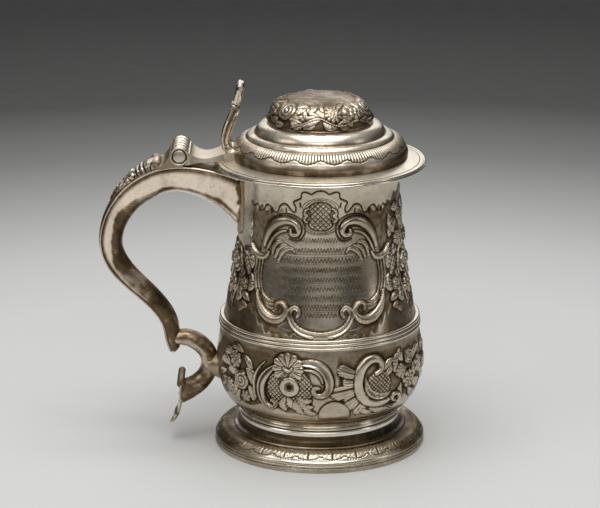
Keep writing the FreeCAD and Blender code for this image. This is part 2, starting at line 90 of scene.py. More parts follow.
class Shader:
    """A node material, built a node at a time."""

    def __init__(self, name):
        self.material = bpy.data.materials.new(name)
        self.material.use_nodes = True
        self.tree = self.material.node_tree
        self.surface = self.tree.nodes["Principled BSDF"]

    def node(self, kind, inputs=None, **settings):
        """Add a node, with a value or another node's output for each input named."""
        made = self.tree.nodes.new(kind)
        for key, value in settings.items():
            setattr(made, key, value)
        for key, value in (inputs or {}).items():
            self.feed(made.inputs[key], value)
        return made

    def feed(self, socket, value):
        if isinstance(value, bpy.types.NodeSocket):
            self.tree.links.new(value, socket)
        else:
            socket.default_value = value

    def noise(self, scale, detail, rough=0.55, stretch=(1, 1, 1)):
        """Noise in the piece's own space, finer as scale grows."""
        place = self.node("ShaderNodeTexCoord")
        spread = self.node("ShaderNodeMapping", {"Vector": place.outputs["Object"], "Scale": stretch})
        made = self.node("ShaderNodeTexNoise", {"Vector": spread.outputs[0], "Scale": scale,
            "Detail": detail, "Roughness": rough})
        return made.outputs[0]

    def math(self, operation, a, b=0, clamp=False):
        made = self.node("ShaderNodeMath", {0: a, 1: b}, operation=operation, use_clamp=clamp)
        return made.outputs[0]

    def remap(self, value, low, high, to_low=0, to_high=1):
        """Carry a value from one range to another, clamped at its ends."""
        made = self.node("ShaderNodeMapRange", {0: value, 1: low, 2: high, 3: to_low, 4: to_high})
        return made.outputs[0]

    def blend(self, share, one, other):
        made = self.node("ShaderNodeMix", {0: share}, data_type="RGBA")
        for socket, value in ((made.inputs[6], one), (made.inputs[7], other)):
            self.feed(socket, value if isinstance(value, bpy.types.NodeSocket) else (*value, 1))
        return made.outputs[2]

    def attribute(self, name):
        """A number kept at each of the mesh's points."""
        return self.node("ShaderNodeAttribute", attribute_name=name).outputs["Fac"]


def ramp_stops(ramp, stops):
    """Set a colour ramp's stops, each a position and a grey."""
    elements = ramp.color_ramp.elements
    for number, (position, grey) in enumerate(stops):
        stop = elements[number] if number < 2 else elements.new(position)
        stop.position = position
        stop.color = (grey, grey, grey * 0.985, 1)


def make_floor():
    """A pale paper with a painted pool of light: its colour falls off to grey away from the lights."""
    bpy.ops.mesh.primitive_grid_add(x_subdivisions=40, y_subdivisions=40, size=14)
    floor = bpy.context.object
    floor.name = "floor"
    paper = Shader("paper")
    place = paper.node("ShaderNodeTexCoord")
    apart = paper.node("ShaderNodeSeparateXYZ", {0: place.outputs["Object"]})
    near = paper.math("MULTIPLY", apart.outputs["Y"], 0.4)
    depth = paper.math("MAXIMUM", apart.outputs["Y"], near)
    flat = paper.node("ShaderNodeCombineXYZ", {0: apart.outputs["X"], 1: depth})
    away = paper.node("ShaderNodeVectorMath", {0: flat.outputs[0]}, operation="LENGTH")
    share = paper.math("DIVIDE", away.outputs["Value"], PAINTED_POOL_REACH)
    # Painted pool of light: the paper's own colour is pale round the tankard and greys off with distance,
    # stretched towards the front.
    painted_light_pool = paper.node("ShaderNodeValToRGB", {0: share})
    ramp_stops(painted_light_pool, [(0, 0.6), (1, 0.036), (0.24, 0.6), (0.33, 0.54), (0.42, 0.4), (0.54, 0.21),
        (0.69, 0.075)])
    grain = paper.noise(60, 6)
    tone = paper.blend(paper.remap(grain, 0.3, 0.7, 0, 0.02), painted_light_pool.outputs[0], (0.4, 0.4, 0.4))
    paper.feed(paper.surface.inputs["Base Color"], tone)
    paper.surface.inputs["Roughness"].default_value = 0.8
    paper.surface.inputs["Specular IOR Level"].default_value = 0.15
    floor.data.materials.append(paper.material)


def make_world():
    """A dim studio: pale above, dark round the walls."""
    world = bpy.data.worlds.new("studio")
    world.use_nodes = True
    bpy.context.scene.world = world
    tree = world.node_tree
    place = tree.nodes.new("ShaderNodeTexCoord")
    apart = tree.nodes.new("ShaderNodeSeparateXYZ")
    ramp = tree.nodes.new("ShaderNodeValToRGB")
    tree.links.new(place.outputs["Generated"], apart.inputs[0])
    tree.links.new(apart.outputs["Z"], ramp.inputs[0])
    ramp_stops(ramp, [(0, 0.035), (1, 0.55), (0.25, 0.05), (0.55, 0.22)])
    tree.links.new(ramp.outputs[0], tree.nodes["Background"].inputs[0])
    tree.nodes["Background"].inputs[1].default_value = 1


# ------------------------------------------------------------------ silver
BRIGHT = (0.74, 0.665, 0.545)
BROWN = (0.26, 0.18, 0.095)
BLACK = (0.03, 0.024, 0.017)


def make_silver(name, bright=BRIGHT, tarnish=0.35, gloss=0.19, chased=False, fleck=0.32):
    """Old silver: worn bright on high places, brown in broad clouds, black in the chasing, and darkened too
    wherever a piece lays painted shade into its point attribute.
    """
    silver = Shader(name)
    clouds = silver.noise(38, 5, 0.6)
    specks = silver.noise(420, 6, 0.7)
    streaks = silver.noise(140, 4, 0.5, (1, 1, 6))
    cloud = silver.math("MULTIPLY", silver.remap(clouds, 0.42, 0.75), tarnish)
    speck = silver.remap(specks, 0.52, 0.72, 0, fleck)
    colour = silver.blend(silver.math("ADD", cloud, speck, True), bright, BROWN)
    rough = silver.remap(streaks, 0.3, 0.7, gloss * 0.9, gloss * 1.15)
    grain = silver.noise(900, 3, 0.6)
    if chased:
        # Read back the darkening each piece laid down: real tarnish in the hollows together with painted
        # shade.
        patina_and_shade_amount = silver.attribute("patina_and_painted_shade")
        worn = silver.math("ADD", silver.remap(specks, 0.25, 0.75, -0.2, 0.2),
            silver.remap(clouds, 0.32, 0.68, -0.35, 0.3))
        patina_and_shade_amount = silver.math("ADD", patina_and_shade_amount, silver.math("MULTIPLY", worn, patina_and_shade_amount), True)
        warm = silver.remap(patina_and_shade_amount, 0.04, 0.52)
        deep = silver.remap(patina_and_shade_amount, 0.45, 1)
        colour = silver.blend(warm, colour, tuple(c * 0.8 for c in BROWN))
        colour = silver.blend(deep, colour, BLACK)
        rough = silver.math("ADD", rough, silver.math("MULTIPLY", patina_and_shade_amount, 0.25), True)
        pits = silver.node("ShaderNodeTexVoronoi", {"Scale": 1500,
            "Vector": silver.node("ShaderNodeTexCoord").outputs["Object"]})
        matt = silver.attribute("matting")
        pit = silver.math("MULTIPLY", pits.outputs["Distance"], matt)
        rough = silver.math("ADD", rough, silver.math("MULTIPLY", matt, 0.12), True)
        grain = silver.math("ADD", silver.math("MULTIPLY", grain, 0.12), pit)
        bump = silver.node("ShaderNodeBump", {"Height": grain, "Strength": 0.35, "Distance": 0.0004})
    else:
        bump = silver.node("ShaderNodeBump", {"Height": grain, "Strength": 0.08, "Distance": 0.0002})
    silver.feed(silver.surface.inputs["Base Color"], colour)
    silver.feed(silver.surface.inputs["Roughness"], rough)
    silver.feed(silver.surface.inputs["Normal"], bump.outputs[0])
    silver.surface.inputs["Metallic"].default_value = 1
    return silver.material


# ------------------------------------------------------------------ lines, profiles and meshes
def travelled(line):
    """The distance along a line to each of its points."""
    return np.concatenate([[0], np.cumsum(np.linalg.norm(np.diff(line, axis=0), axis=1))])


def spline(points, count):
    """A natural cubic through the points, as count points evenly spaced in chord length."""
    knots = np.asarray(points, float)
    n = len(knots)
    along = travelled(knots)
    if n == 2:
        share = np.linspace(0, 1, count)[:, None]
        return knots[0] * (1 - share) + knots[1] * share
    step = np.diff(along)
    system = np.zeros((n, n))
    right = np.zeros((n, knots.shape[1]))
    system[0, 0] = system[-1, -1] = 1
    for i in range(1, n - 1):
        system[i, i - 1:i + 2] = step[i - 1], 2 * (step[i - 1] + step[i]), step[i]
        right[i] = 6 * ((knots[i + 1] - knots[i]) / step[i] - (knots[i] - knots[i - 1]) / step[i - 1])
    bend = np.linalg.solve(system, right)
    place = np.linspace(0, along[-1], count)
    cell = np.clip(np.searchsorted(along, place, side="right") - 1, 0, n - 2)
    after = (place - along[cell])[:, None]
    before = (along[cell + 1] - place)[:, None]
    width = step[cell][:, None]
    return ((bend[cell] * before ** 3 + bend[cell + 1] * after ** 3) / (6 * width) + (knots[cell] / width
        - bend[cell] * width / 6) * before + (knots[cell + 1] / width - bend[cell + 1] * width / 6) * after)


ARC_STEPS = 8


def arc_points(start, through, end):
    """Points on the circle through three points, without the first."""
    (ax, ay), (bx, by), (cx, cy) = start, through, end
    d = 2 * (ax * (by - cy) + bx * (cy - ay) + cx * (ay - by))
    ux = ((ax**2 + ay**2) * (by - cy) + (bx**2 + by**2) * (cy - ay) + (cx**2 + cy**2) * (ay - by)) / d
    uy = ((ax**2 + ay**2) * (cx - bx) + (bx**2 + by**2) * (ax - cx) + (cx**2 + cy**2) * (bx - ax)) / d
    angles = [math.atan2(y - uy, x - ux) for x, y in (start, through, end)]
    sweep = (angles[2] - angles[0]) % (2 * math.pi)
    if (angles[1] - angles[0]) % (2 * math.pi) > sweep:
        sweep -= 2 * math.pi
    radius = math.hypot(ax - ux, ay - uy)
    turns = [angles[0] + sweep * i / ARC_STEPS for i in range(1, ARC_STEPS + 1)]
    return [(ux + radius * math.cos(turn), uy + radius * math.sin(turn)) for turn in turns]


def evenly(points, spacing):
    """The same open line with points about spacing apart."""
    line = np.asarray(points, float)
    along = travelled(line)
    place = np.linspace(0, along[-1], max(2, int(round(along[-1] / spacing)) + 1))
    return np.stack([np.interp(place, along, line[:, k]) for k in range(line.shape[1])], 1)


def line_normals(line):
    """Unit normals of an (r, z) line, to its right as it climbs, which is outwards."""
    run = np.gradient(line, axis=0)
    run /= np.linalg.norm(run, axis=1)[:, None]
    return np.stack([run[:, 1], -run[:, 0]], 1)


def surface(name, points, material, body, replaced, closed=(False, True), dark=None, matt=None):
    """A piece from a grid of points, rows by columns, with its darkening, from tarnish in the hollows and
    from painted shade, and its matting at each point.
    """
    rows, cols = points.shape[:2]
    index = np.arange(rows * cols).reshape(rows, cols)
    down = np.vstack([index, index[:1]]) if closed[0] else index
    both = np.hstack([down, down[:, :1]]) if closed[1] else down
    quads = np.stack([both[:-1, :-1], both[:-1, 1:], both[1:, 1:], both[1:, :-1]], -1).reshape(-1, 4)
    mesh = bpy.data.meshes.new(name)
    mesh.vertices.add(rows * cols)
    mesh.vertices.foreach_set("co", (points * MM).astype(np.float32).ravel())
    mesh.loops.add(quads.size)
    mesh.loops.foreach_set("vertex_index", quads.astype(np.int32).ravel())
    mesh.polygons.add(len(quads))
    mesh.polygons.foreach_set("loop_start", np.arange(0, quads.size, 4, dtype=np.int32))
    mesh.polygons.foreach_set("loop_total", np.full(len(quads), 4, np.int32))
    mesh.polygons.foreach_set("use_smooth", np.ones(len(quads), bool))
    for key, values in (("patina_and_painted_shade", dark), ("matting", matt)):
        if values is not None:
            layer = mesh.attributes.new(key, "FLOAT", "POINT")
            layer.data.foreach_set("value", values.astype(np.float32).ravel())
    mesh.update(calc_edges=True)
    mesh.validate()
    piece = bpy.data.objects.new(name, mesh)
    bpy.context.scene.collection.objects.link(piece)
    mesh.materials.append(material)
    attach(piece, body)
    if replaced:
        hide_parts(*replaced)


def turned(line, theta):
    """Points of an (r, z) line turned to each angle theta, counted from the front, -Y, towards +X."""
    r, z = line[:, :1], line[:, 1:2]
    return np.stack([r * np.sin(theta), -r * np.cos(theta), np.broadcast_to(z, (len(z), len(theta)))], -1)


# ------------------------------------------------------------------ chasing
BASKET_PITCH = 2.4


class Relief:
    """A height field over a turned surface: a is the arc from a centre line, v the height up it."""

    def __init__(self, radius, up, theta):
        self.radius = np.asarray(radius, float)[:, None]
        self.v = np.broadcast_to(np.asarray(up, float)[:, None], (len(up), len(theta)))
        self.theta = np.asarray(theta, float)
        self.height = np.zeros(self.v.shape)
        self.dark = np.zeros(self.v.shape)
        self.matt = np.zeros(self.v.shape)
        self.centre(0)

    def centre(self, degrees, flip=1):
        """Measure arcs from this angle, mirrored if flip is -1."""
        turn = (self.theta - math.radians(degrees) + math.pi) % (2 * math.pi) - math.pi
        self.a = flip * turn[None, :] * self.radius

    def ink(self, amount, cells=...):
        """Darken to at least this amount."""
        self.dark[cells] = np.maximum(self.dark[cells], amount)

    def window(self, points, reach):
        """Rows and columns within reach of the points, both empty where there are none."""
        pts = np.asarray(points, float)
        low, high = pts.min(0) - reach, pts.max(0) + reach
        rows = np.flatnonzero((self.v[:, 0] > low[1]) & (self.v[:, 0] < high[1]))
        if not len(rows):
            return slice(0, 0), slice(0, 0)
        inside = (self.a[rows] > low[0]) & (self.a[rows] < high[0])
        cols = np.flatnonzero(inside.any(0))
        if not len(cols):
            return slice(0, 0), slice(0, 0)
        return slice(rows[0], rows[-1] + 1), slice(cols[0], cols[-1] + 1)

    def distance(self, points, cells, closed=False):
        """Signed distance from a smooth line (left of it positive) and the share of the way along."""
        if closed:
            points = list(points) + [points[0]]
        count = max(8, 6 * (len(points) - 1))
        line = spline(points, count)
        x, y = self.a[cells], self.v[cells]
        best = np.full(x.shape, 1e9)
        share = np.zeros(x.shape)
        side = np.ones(x.shape)
        for i in range(count - 1):
            (px, py), (dx, dy) = line[i], line[i + 1] - line[i]
            t = np.clip(((x - px) * dx + (y - py) * dy) / (dx * dx + dy * dy + 1e-12), 0, 1)
            ox, oy = x - px - t * dx, y - py - t * dy
            d = np.hypot(ox, oy)
            near = d < best
            best = np.where(near, d, best)
            share = np.where(near, (i + t) / (count - 1), share)
            side = np.where(near, np.sign(dx * oy - dy * ox), side)
        return best * side, share

    def raise_to(self, cells, height, shown):
        """Lift the surface to at least this height where shown."""
        now = self.height[cells]
        up = shown & (height > now)
        self.height[cells] = np.where(up, height, now)
        self.matt[cells] = np.where(up, 0, self.matt[cells])
        self.dark[cells] = np.where(up, self.dark[cells] * 0.2, self.dark[cells])

    def scroll(self, points, widths, height, kind="round"):
        """A raised band along a line: round, or two ridges with a hollow between."""
        cells = self.window(points, max(widths) + 1.5)
        d, share = self.distance(points, cells)
        half = np.interp(share, np.linspace(0, 1, len(widths)), widths)
        u = d / half
        if kind == "round":
            h = height * dome(u)
        elif kind == "hollow":
            outer = bell(np.abs(u), 0.72, 0.22)
            h = height * (0.35 + 0.65 * outer) * (np.abs(u) < 1)
            self.ink(0.3 * (np.abs(u) < 1), cells)
        else:
            ridge = bell(u, 0.45, 0.42) + 0.62 * bell(u, -0.68, 0.22)
            h = height * ridge * (np.abs(u) < 1)
        h = h * np.clip(half / (0.35 * max(widths)), 0.25, 1) ** 0.5
        self.raise_to(cells, h, np.abs(u) < 1)
        edge = bell(np.abs(d), half + 0.3, 0.35)
        self.ink(0.74 * edge, cells)
        self.height[cells] -= 0.22 * edge

    def cut(self, points, width=0.28, depth=0.22, ink=1, closed=False):
        """An engraved line."""
        cells = self.window(points, width + 1)
        line = bell(self.distance(points, cells, closed)[0], 0, width)
        self.height[cells] -= depth * line
        self.ink(ink * line, cells)

    def leaf(self, points, half_width, height, veins=5):
        """A pointed leaf along a line, with a midrib and side veins."""
        cells = self.window(points, half_width + 1)
        d, share = self.distance(points, cells)
        half = half_width * np.sin(np.pi * np.clip(share * 0.92 + 0.08, 0, 1)) ** 0.75 + 0.15
        u = np.abs(d) / half
        h = height * dome(u) * (0.55 + 0.45 * np.sin(np.pi * share))
        rib = bell(d, 0, 0.25)
        vein = 0.5 + 0.5 * np.cos(2 * np.pi * (share * veins + np.abs(d) / half_width * 0.8))
        h = h * (1 - 0.28 * vein * (u > 0.15)) - 0.28 * height * rib
        self.raise_to(cells, h, u < 1)
        mark = np.maximum(0.75 * rib, 0.55 * vein ** 3) * (u < 1)
        edge = bell(np.abs(d), half + 0.25, 0.3)
        self.ink(np.maximum(mark * 0.6, 0.58 * edge), cells)
        self.height[cells] -= 0.2 * edge

    def near(self, points, reach, origin=(0, 0)):
        """The cells within reach of the points, and each one's place, measured from an origin."""
        cells = self.window(points, reach)
        return cells, self.a[cells] - origin[0], self.v[cells] - origin[1]

    def polar(self, centre, reach, points=()):
        """The cells near a centre, or near other points, and their distances and angles from it."""
        cells, x, y = self.near(points or [centre], reach, centre)
        return cells, np.hypot(x, y), np.arctan2(y, x)

    def flower(self, centre, radius, petals, height, turn=0, rings=1):
        """Petals in one or more rings round a beaded eye."""
        cells, r, angle = self.polar(centre, radius + 1)
        shown = np.zeros(r.shape, bool)
        tallest = np.zeros(r.shape)
        ink = np.zeros(r.shape)
        for ring_number in range(rings):
            reach = radius * (1 - 0.36 * ring_number)
            wave = np.abs(np.cos(petals * (angle + turn + 0.35 * ring_number) / 2))
            edge = reach * (0.72 + 0.28 * wave ** 0.6)
            u = r / edge
            h = height * (1 + 0.35 * ring_number) * np.sqrt(np.clip(1 - (2 * u - 1.15) ** 2 * 0.75, 0, 1))
            h *= 0.45 + 0.55 * wave ** 0.7
            inside = u < 1
            tallest = np.where(inside, np.maximum(h, tallest * 0.4), tallest)
            ink = np.where(inside, (1 - wave) ** 2.5 * 0.9, ink)
            ink = np.maximum(ink, 0.85 * bell(r, edge, 0.3))
            shown |= inside
        eye = radius * 0.2
        tallest = np.where(r < eye, height * (0.7 + 0.6 * dome(r / eye)), tallest)
        ink = np.where(r < eye, 0.1, np.maximum(ink, bell(r, eye, 0.28)))
        self.raise_to(cells, tallest, shown)
        self.ink(ink * (r < radius * 1.1), cells)

    def rose(self, centre, radius, height):
        """A full rose: a domed spiral of overlapping petals."""
        cells, r, angle = self.polar(centre, radius + 1)
        edge = radius * (0.9 + 0.1 * np.abs(np.cos(2.5 * angle)))
        u = r / edge
        petal = 0.05 * np.sin(5 * angle + 3 * u) + 0.05 * np.sin(8 * angle - 5 * u)
        spiral = np.cos(2 * np.pi * (u * 2.6 + angle / (2 * np.pi) + petal))
        h = height * dome(u) * 0.85 + 0.26 * height * spiral * (u < 1)
        self.raise_to(cells, h + 0.25, u < 1)
        ink = np.clip(-spiral, 0, 1) ** 2 * 0.8 * (u < 1)
        self.ink(np.maximum(ink, bell(r, edge, 0.35)), cells)

    def shell(self, centre, radius, flutes, height):
        """A fan of flutes, three quarters of a turn round, with its gap below."""
        cells, r, angle = self.polar(centre, radius + 1)
        share = ((angle / np.pi + 0.25) % 2) / 1.5
        wave = np.abs(np.sin(np.pi * flutes * share))
        edge = radius * (0.84 + 0.16 * wave ** 0.6)
        u = r / edge
        inside = (u < 1) & (share < 1)
        h = height * (0.35 + 0.65 * wave ** 0.6) * (0.25 + 0.75 * np.clip(u * 1.2, 0, 1))
        self.raise_to(cells, h, inside)
        rim = bell(r, edge, 0.3) * (share < 1)
        self.ink(np.maximum((1 - wave) ** 3 * inside, rim) * 0.9, cells)

    def basket(self, inside, cells):
        """Small raised lozenges between crossing dark lines."""
        x, y = self.a[cells], self.v[cells]
        one = np.abs(np.sin(np.pi * (x + y) / BASKET_PITCH))
        two = np.abs(np.sin(np.pi * (x - y) / BASKET_PITCH))
        lump = np.minimum(one, two)
        raised = np.maximum(self.height[cells], lump + 0.1)
        self.height[cells] = np.where(inside, raised, self.height[cells])
        self.dark[cells] = np.where(inside, np.clip(1.15 - 1.9 * lump, 0.05, 1), self.dark[cells])
        self.matt[cells] = np.where(inside, 0, self.matt[cells])

    def ground(self, inside, sink=0.25, ink=0.55):
        """Punched matting over a whole region, given as a 0 to 1 mask."""
        self.height -= sink * inside
        self.matt = np.maximum(self.matt, inside)
        self.ink(ink * inside)


def blurred(field, cells):
    """Three passes of a box blur, so about a bell curve."""
    for axis in (0, 1):
        for _ in range(3):
            pad = [(0, 0), (0, 0)]
            pad[axis] = (cells + 1, cells)
            total = np.cumsum(np.pad(field, pad, mode="edge"), axis=axis)
            width = 2 * cells + 1
            upper = np.take(total, range(width, total.shape[axis]), axis=axis)
            lower = np.take(total, range(0, total.shape[axis] - width), axis=axis)
            field = (upper - lower) / width
    return field


def finish_relief(relief, spacing, wander, seed):
    """Dent the surface a little, and add what has settled in the hollows to the patina."""
    random = np.random.default_rng(seed)
    lumps = blurred(random.standard_normal(relief.height.shape), max(1, int(1.1 / spacing)))
    lumps /= np.abs(lumps).max()
    relief.height += wander * lumps * (0.1 + relief.matt)
    hollow = blurred(relief.height, max(2, int(1.3 / spacing))) - relief.height
    dark = np.clip(relief.dark * 0.85 + np.clip(hollow * 1.6, 0, 0.8), 0, 1)
    dark = np.clip(dark - np.clip(-hollow * 1.2, 0, 0.5), 0, 1)
    return relief.height, dark


def bell(x, centre, width):
    """1 at the centre, falling smoothly to nothing over about twice the width."""
    return np.exp(-((x - centre) / width) ** 2)


def dome(u):
    """1 at 0, falling as a circle does to 0 at 1."""
    return np.sqrt(np.clip(1 - u ** 2, 0, 1))


def step_up(low, high, x):
    """A smooth step from 0 at low to 1 at high, which may be the smaller."""
    t = np.clip((x - low) / (high - low), 0, 1)
    return t * t * (3 - 2 * t)


# ------------------------------------------------------------------ the vessel's profile
BODY_CURVE = [(43.2, 20.6), (49.9, 26.4), (54.6, 34.2), (56.8, 43.5), (56.8, 53), (54.9, 66), (51.5, 80.5),
    (47.6, 97.5), (44.8, 116), (43.9, 134), (44.4, 150), (47, 161.3)]
SHEET = 1
GIRDLE_LOW, GIRDLE_HIGH = (corner.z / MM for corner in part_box("girdle_band"))
FRONT, BACK = 0, 180


def body_line(low, high, spacing):
    """The body's outer profile between two heights."""
    line = spline(BODY_CURVE, 1200)
    return evenly(line[(line[:, 1] >= low) & (line[:, 1] <= high)], spacing)


# ------------------------------------------------------------------ chasing on the drum
def both_sides(draw, points, *rest, **named):
    """Draw something twice, the second time mirrored."""
    draw(points, *rest, **named)
    draw([(-a, v) for a, v in points], *rest, **named)


def crest_height(a):
    """How high the chased ground reaches, by arc from the cartouche's middle."""
    x = np.abs(a)
    return (142 + 11 * step_up(17, 10, x) + 1.5 * np.cos(x * 0.9) + 9 * step_up(36, 62, x)
        * step_up(200, 64, x))


def drum_ground(relief):
    """Matting behind the scrolls and flowers, clear of the cartouche and of the plain zones."""
    a, v = relief.a, relief.v
    x = np.abs(a)
    below = 77.5 - 4.5 * bell(x, 24, 11) + 9 * step_up(30, 46, x) + 1.1 * np.cos(x * 1.3)
    mask = step_up(0.8, -0.4, v - crest_height(a)) * step_up(-0.6, 2.6, v - below)
    low = np.clip((v - 70) / 60, 0, 1)
    half = 33.5 + 3 * bell(v, 106, 20)
    rounded = np.abs(a / half) ** 4 + np.abs((v - 108) / (31 - 4 * low)) ** 4
    mask = mask * step_up(0.93, 1.06, rounded)
    top = step_up(24, 18, x) * step_up(126, 131, v)
    return mask * (1 - 0.75 * top)


def draw_cartouche(relief):
    """The scrolled frame round a plain panel, with its leaves and loops."""
    both_sides(relief.scroll, [(-32.2, 121), (-30.4, 128.2), (-25.8, 134), (-19.6, 136.8), (-14, 136),
        (-11.8, 132.6), (-13.4, 129.4), (-16.2, 130.2), (-16, 132.2)],
        [0.6, 1.8, 2.5, 2.6, 2.2, 1.7, 1.3, 1], 1.5)
    both_sides(relief.scroll, [(-31.6, 117), (-28.6, 124), (-23.6, 129.6), (-19, 131.4)],
        [0.4, 0.75, 0.8, 0.5], 0.7)
    both_sides(relief.cut, [(-33.6, 124), (-30, 133.6), (-23, 139.8), (-14.6, 140.4), (-9, 136.2),
        (-8.8, 130.2), (-12.6, 126.4), (-17, 127.4)], 0.35, 0.3)
    for tip, length in (((-27.5, 118), 6), ((-25.6, 116), 7.4), ((-23.6, 114.6), 8.2)):
        both_sides(relief.leaf, [tip, (tip[0] + length * 0.5, tip[1] + 6.2), (tip[0] + length, tip[1] + 7),
            (tip[0] + length + 1.6, tip[1] + 5.2)], 1.05, 0.55, veins=3)
    both_sides(relief.scroll, [(-42.5, 120.5), (-39.4, 116.2), (-35.2, 114.8), (-31, 116.2),
        (-29.4, 118.6)], [0.5, 1.6, 2, 1.5, 0.5], 1.3)
    for offset, width, height in ((0, 0.95, 1), (2.4, 0.75, 0.75), (4.5, 0.6, 0.55)):
        both_sides(relief.scroll, [(-38.2 + offset, 113.4), (-39.2 + offset * 0.9, 106),
            (-38.6 + offset * 0.9, 99), (-36.2 + offset, 92.6)], [width * 0.5, width, width, width * 0.6],
            height)
    both_sides(relief.scroll, [(-36.8, 97), (-35.6, 90), (-31.6, 85), (-26, 83.2), (-20.8, 85),
        (-18.8, 89.2), (-21, 92.2), (-24.4, 91.4), (-24.2, 88.8)],
        [0.4, 1.7, 2.7, 3, 2.6, 2, 1.5, 1.2, 0.9], 1.9)
    for lift in (0, 2.2, 4.2):
        both_sides(relief.leaf, [(-34.6, 94.5 + lift * 0.6), (-31.6, 90.4 + lift * 0.75),
            (-28.2, 88.6 + lift * 0.9), (-26, 88.8 + lift)], 0.9, 0.8, veins=2)
    relief.scroll([(-12.6, 85.8), (-11.6, 88.4), (-14, 90.4), (-16.6, 88), (-16, 83.4), (-12.4, 79.2),
        (-6.6, 76.9), (0, 76.1), (6.6, 76.9), (12.4, 79.2), (16, 83.4), (16.6, 88), (14, 90.4),
        (11.6, 88.4), (12.6, 85.8)], [0.8, 1.2, 1.5, 1.8, 1.9, 1.95, 2, 1.95, 1.9, 1.8, 1.5, 1.2, 0.8],
        1.25, "hollow")


def draw_oval(relief):
    """A waisted oval of lattice with a dot in each mesh, in a double scrolled line."""
    middle = 140.2
    waisted = [(0, 148.1), (-4.3, 147), (-6.6, 143.9), (-5.2, 141.2), (-5.6, 138.6), (-6.6, 136),
        (-4.3, 133.2), (0, 132.4), (4.3, 133.2), (6.6, 136), (5.6, 138.6), (5.2, 141.2), (6.6, 143.9),
        (4.3, 147)]
    cells, x, y = relief.near(waisted, 4.5, (0, middle))
    waist = 1 - 0.22 * bell(y, 0.6, 1.8)
    u = np.hypot(x / (6.7 * waist), y / 7.9)
    pitch = 2.9
    one, two = (x + y) / pitch, (x - y) / pitch
    lines = np.maximum(*(bell(np.abs(way - np.round(way)) * pitch, 0, 0.34) for way in (one, two)))
    dots = bell(np.hypot(one - np.floor(one) - 0.5, two - np.floor(two) - 0.5) * pitch, 0, 0.34)
    inside = u < 1
    relief.height[cells] += np.where(inside, 0.3 - 0.45 * lines - 0.2 * dots, 0)
    relief.dark[cells] = np.where(inside, np.maximum(lines, 0.9 * dots), relief.dark[cells])
    relief.matt[cells] = np.where(u < 1.5, 0, relief.matt[cells])
    relief.cut(waisted, 0.4, 0.3, closed=True)
    for wider, taller, ink in ((1.24, 1.14, 0.8), (1.46, 1.24, 0.7)):
        ring = [(a * wider, middle + (v - middle) * taller) for a, v in waisted]
        relief.cut(ring, 0.24, 0.18, ink, closed=True)
    for side in (-1, 1):
        relief.scroll([(side * 6.4, 144.2), (side * 8, 143.2), (side * 8.2, 141), (side * 6.8, 140.4),
            (side * 8.4, 139.4), (side * 8.2, 137.4), (side * 6.6, 136.6)],
            [0.3, 0.6, 0.7, 0.5, 0.7, 0.6, 0.3], 0.5)


def draw_crest(relief):
    """The wavy engraved line over the cartouche, with leafy ends and a row of drops."""
    lobes = [(-33, 141.5), (-31.4, 144), (-28.6, 143.6), (-27, 140.8), (-24.4, 141), (-22.6, 144.6),
        (-19.4, 146.2), (-16.8, 144.2), (-14.2, 142), (-13.4, 144.8), (-14.6, 147.4), (-12.4, 149),
        (-10.4, 150.4), (-10, 153), (-7.4, 153.6), (-4.8, 152.6), (-2.6, 154), (0, 154.6)]
    both_sides(relief.cut, lobes, 0.42, 0.32)
    end = [(-44, 144), (-41, 141.6), (-38.4, 143.4), (-36, 140.2), (-33, 141.5)]
    both_sides(relief.cut, end, 0.42, 0.32)
    for a, v in ((-28.4, 141.6), (-19, 143.6), (-11, 147.2), (-37.4, 141.4)):
        both_sides(relief.cut, [(a, v), (a + 0.3, v - 1.8)], 0.5, 0.3)
    cells, x, y = relief.near([(-14, 133), (14, 153)], 1)
    hatch = np.abs(np.sin(np.pi * (x * 0.62 + 0.5 * np.sin(y * 0.8)))) ** 6
    ring = step_up(1.35, 1.6, np.hypot(x / 7, (y - 140.2) / 8.4)) * step_up(0, -1.5, y - crest_height(x))
    relief.ink(0.3 * hatch * ring, cells)


def draw_panel_rows(relief):
    """Rows of close upright strokes between two hair lines, in place of an inscription."""
    rows = ((127, 14), (121.4, 18), (116, 22), (110.8, 23), (105.6, 22), (100.6, 23), (95.8, 20),
        (91.2, 15), (86.8, 9))
    for number, (height, reach) in enumerate(rows):
        cells, x, y = relief.near([(-reach, height), (reach, height)], 2.5, (0, height))
        pitch = 1.5 + 0.2 * (number % 3)
        swell = 0.95 + 0.3 * np.cos(x * 0.9 + number)
        wave = y - swell * np.sin(2 * np.pi * x / pitch)
        slope = np.hypot(1, 2 * np.pi / pitch * np.cos(2 * np.pi * x / pitch))
        strokes = bell(wave / slope, 0, 0.25)
        rails = np.maximum(bell(y, 1.75, 0.14), bell(y, -1.75, 0.14)) * 0.6
        mark = np.maximum(strokes, rails) * (np.abs(x) < reach)
        relief.height[cells] -= 0.08 * mark
        relief.ink(0.85 * mark, cells)


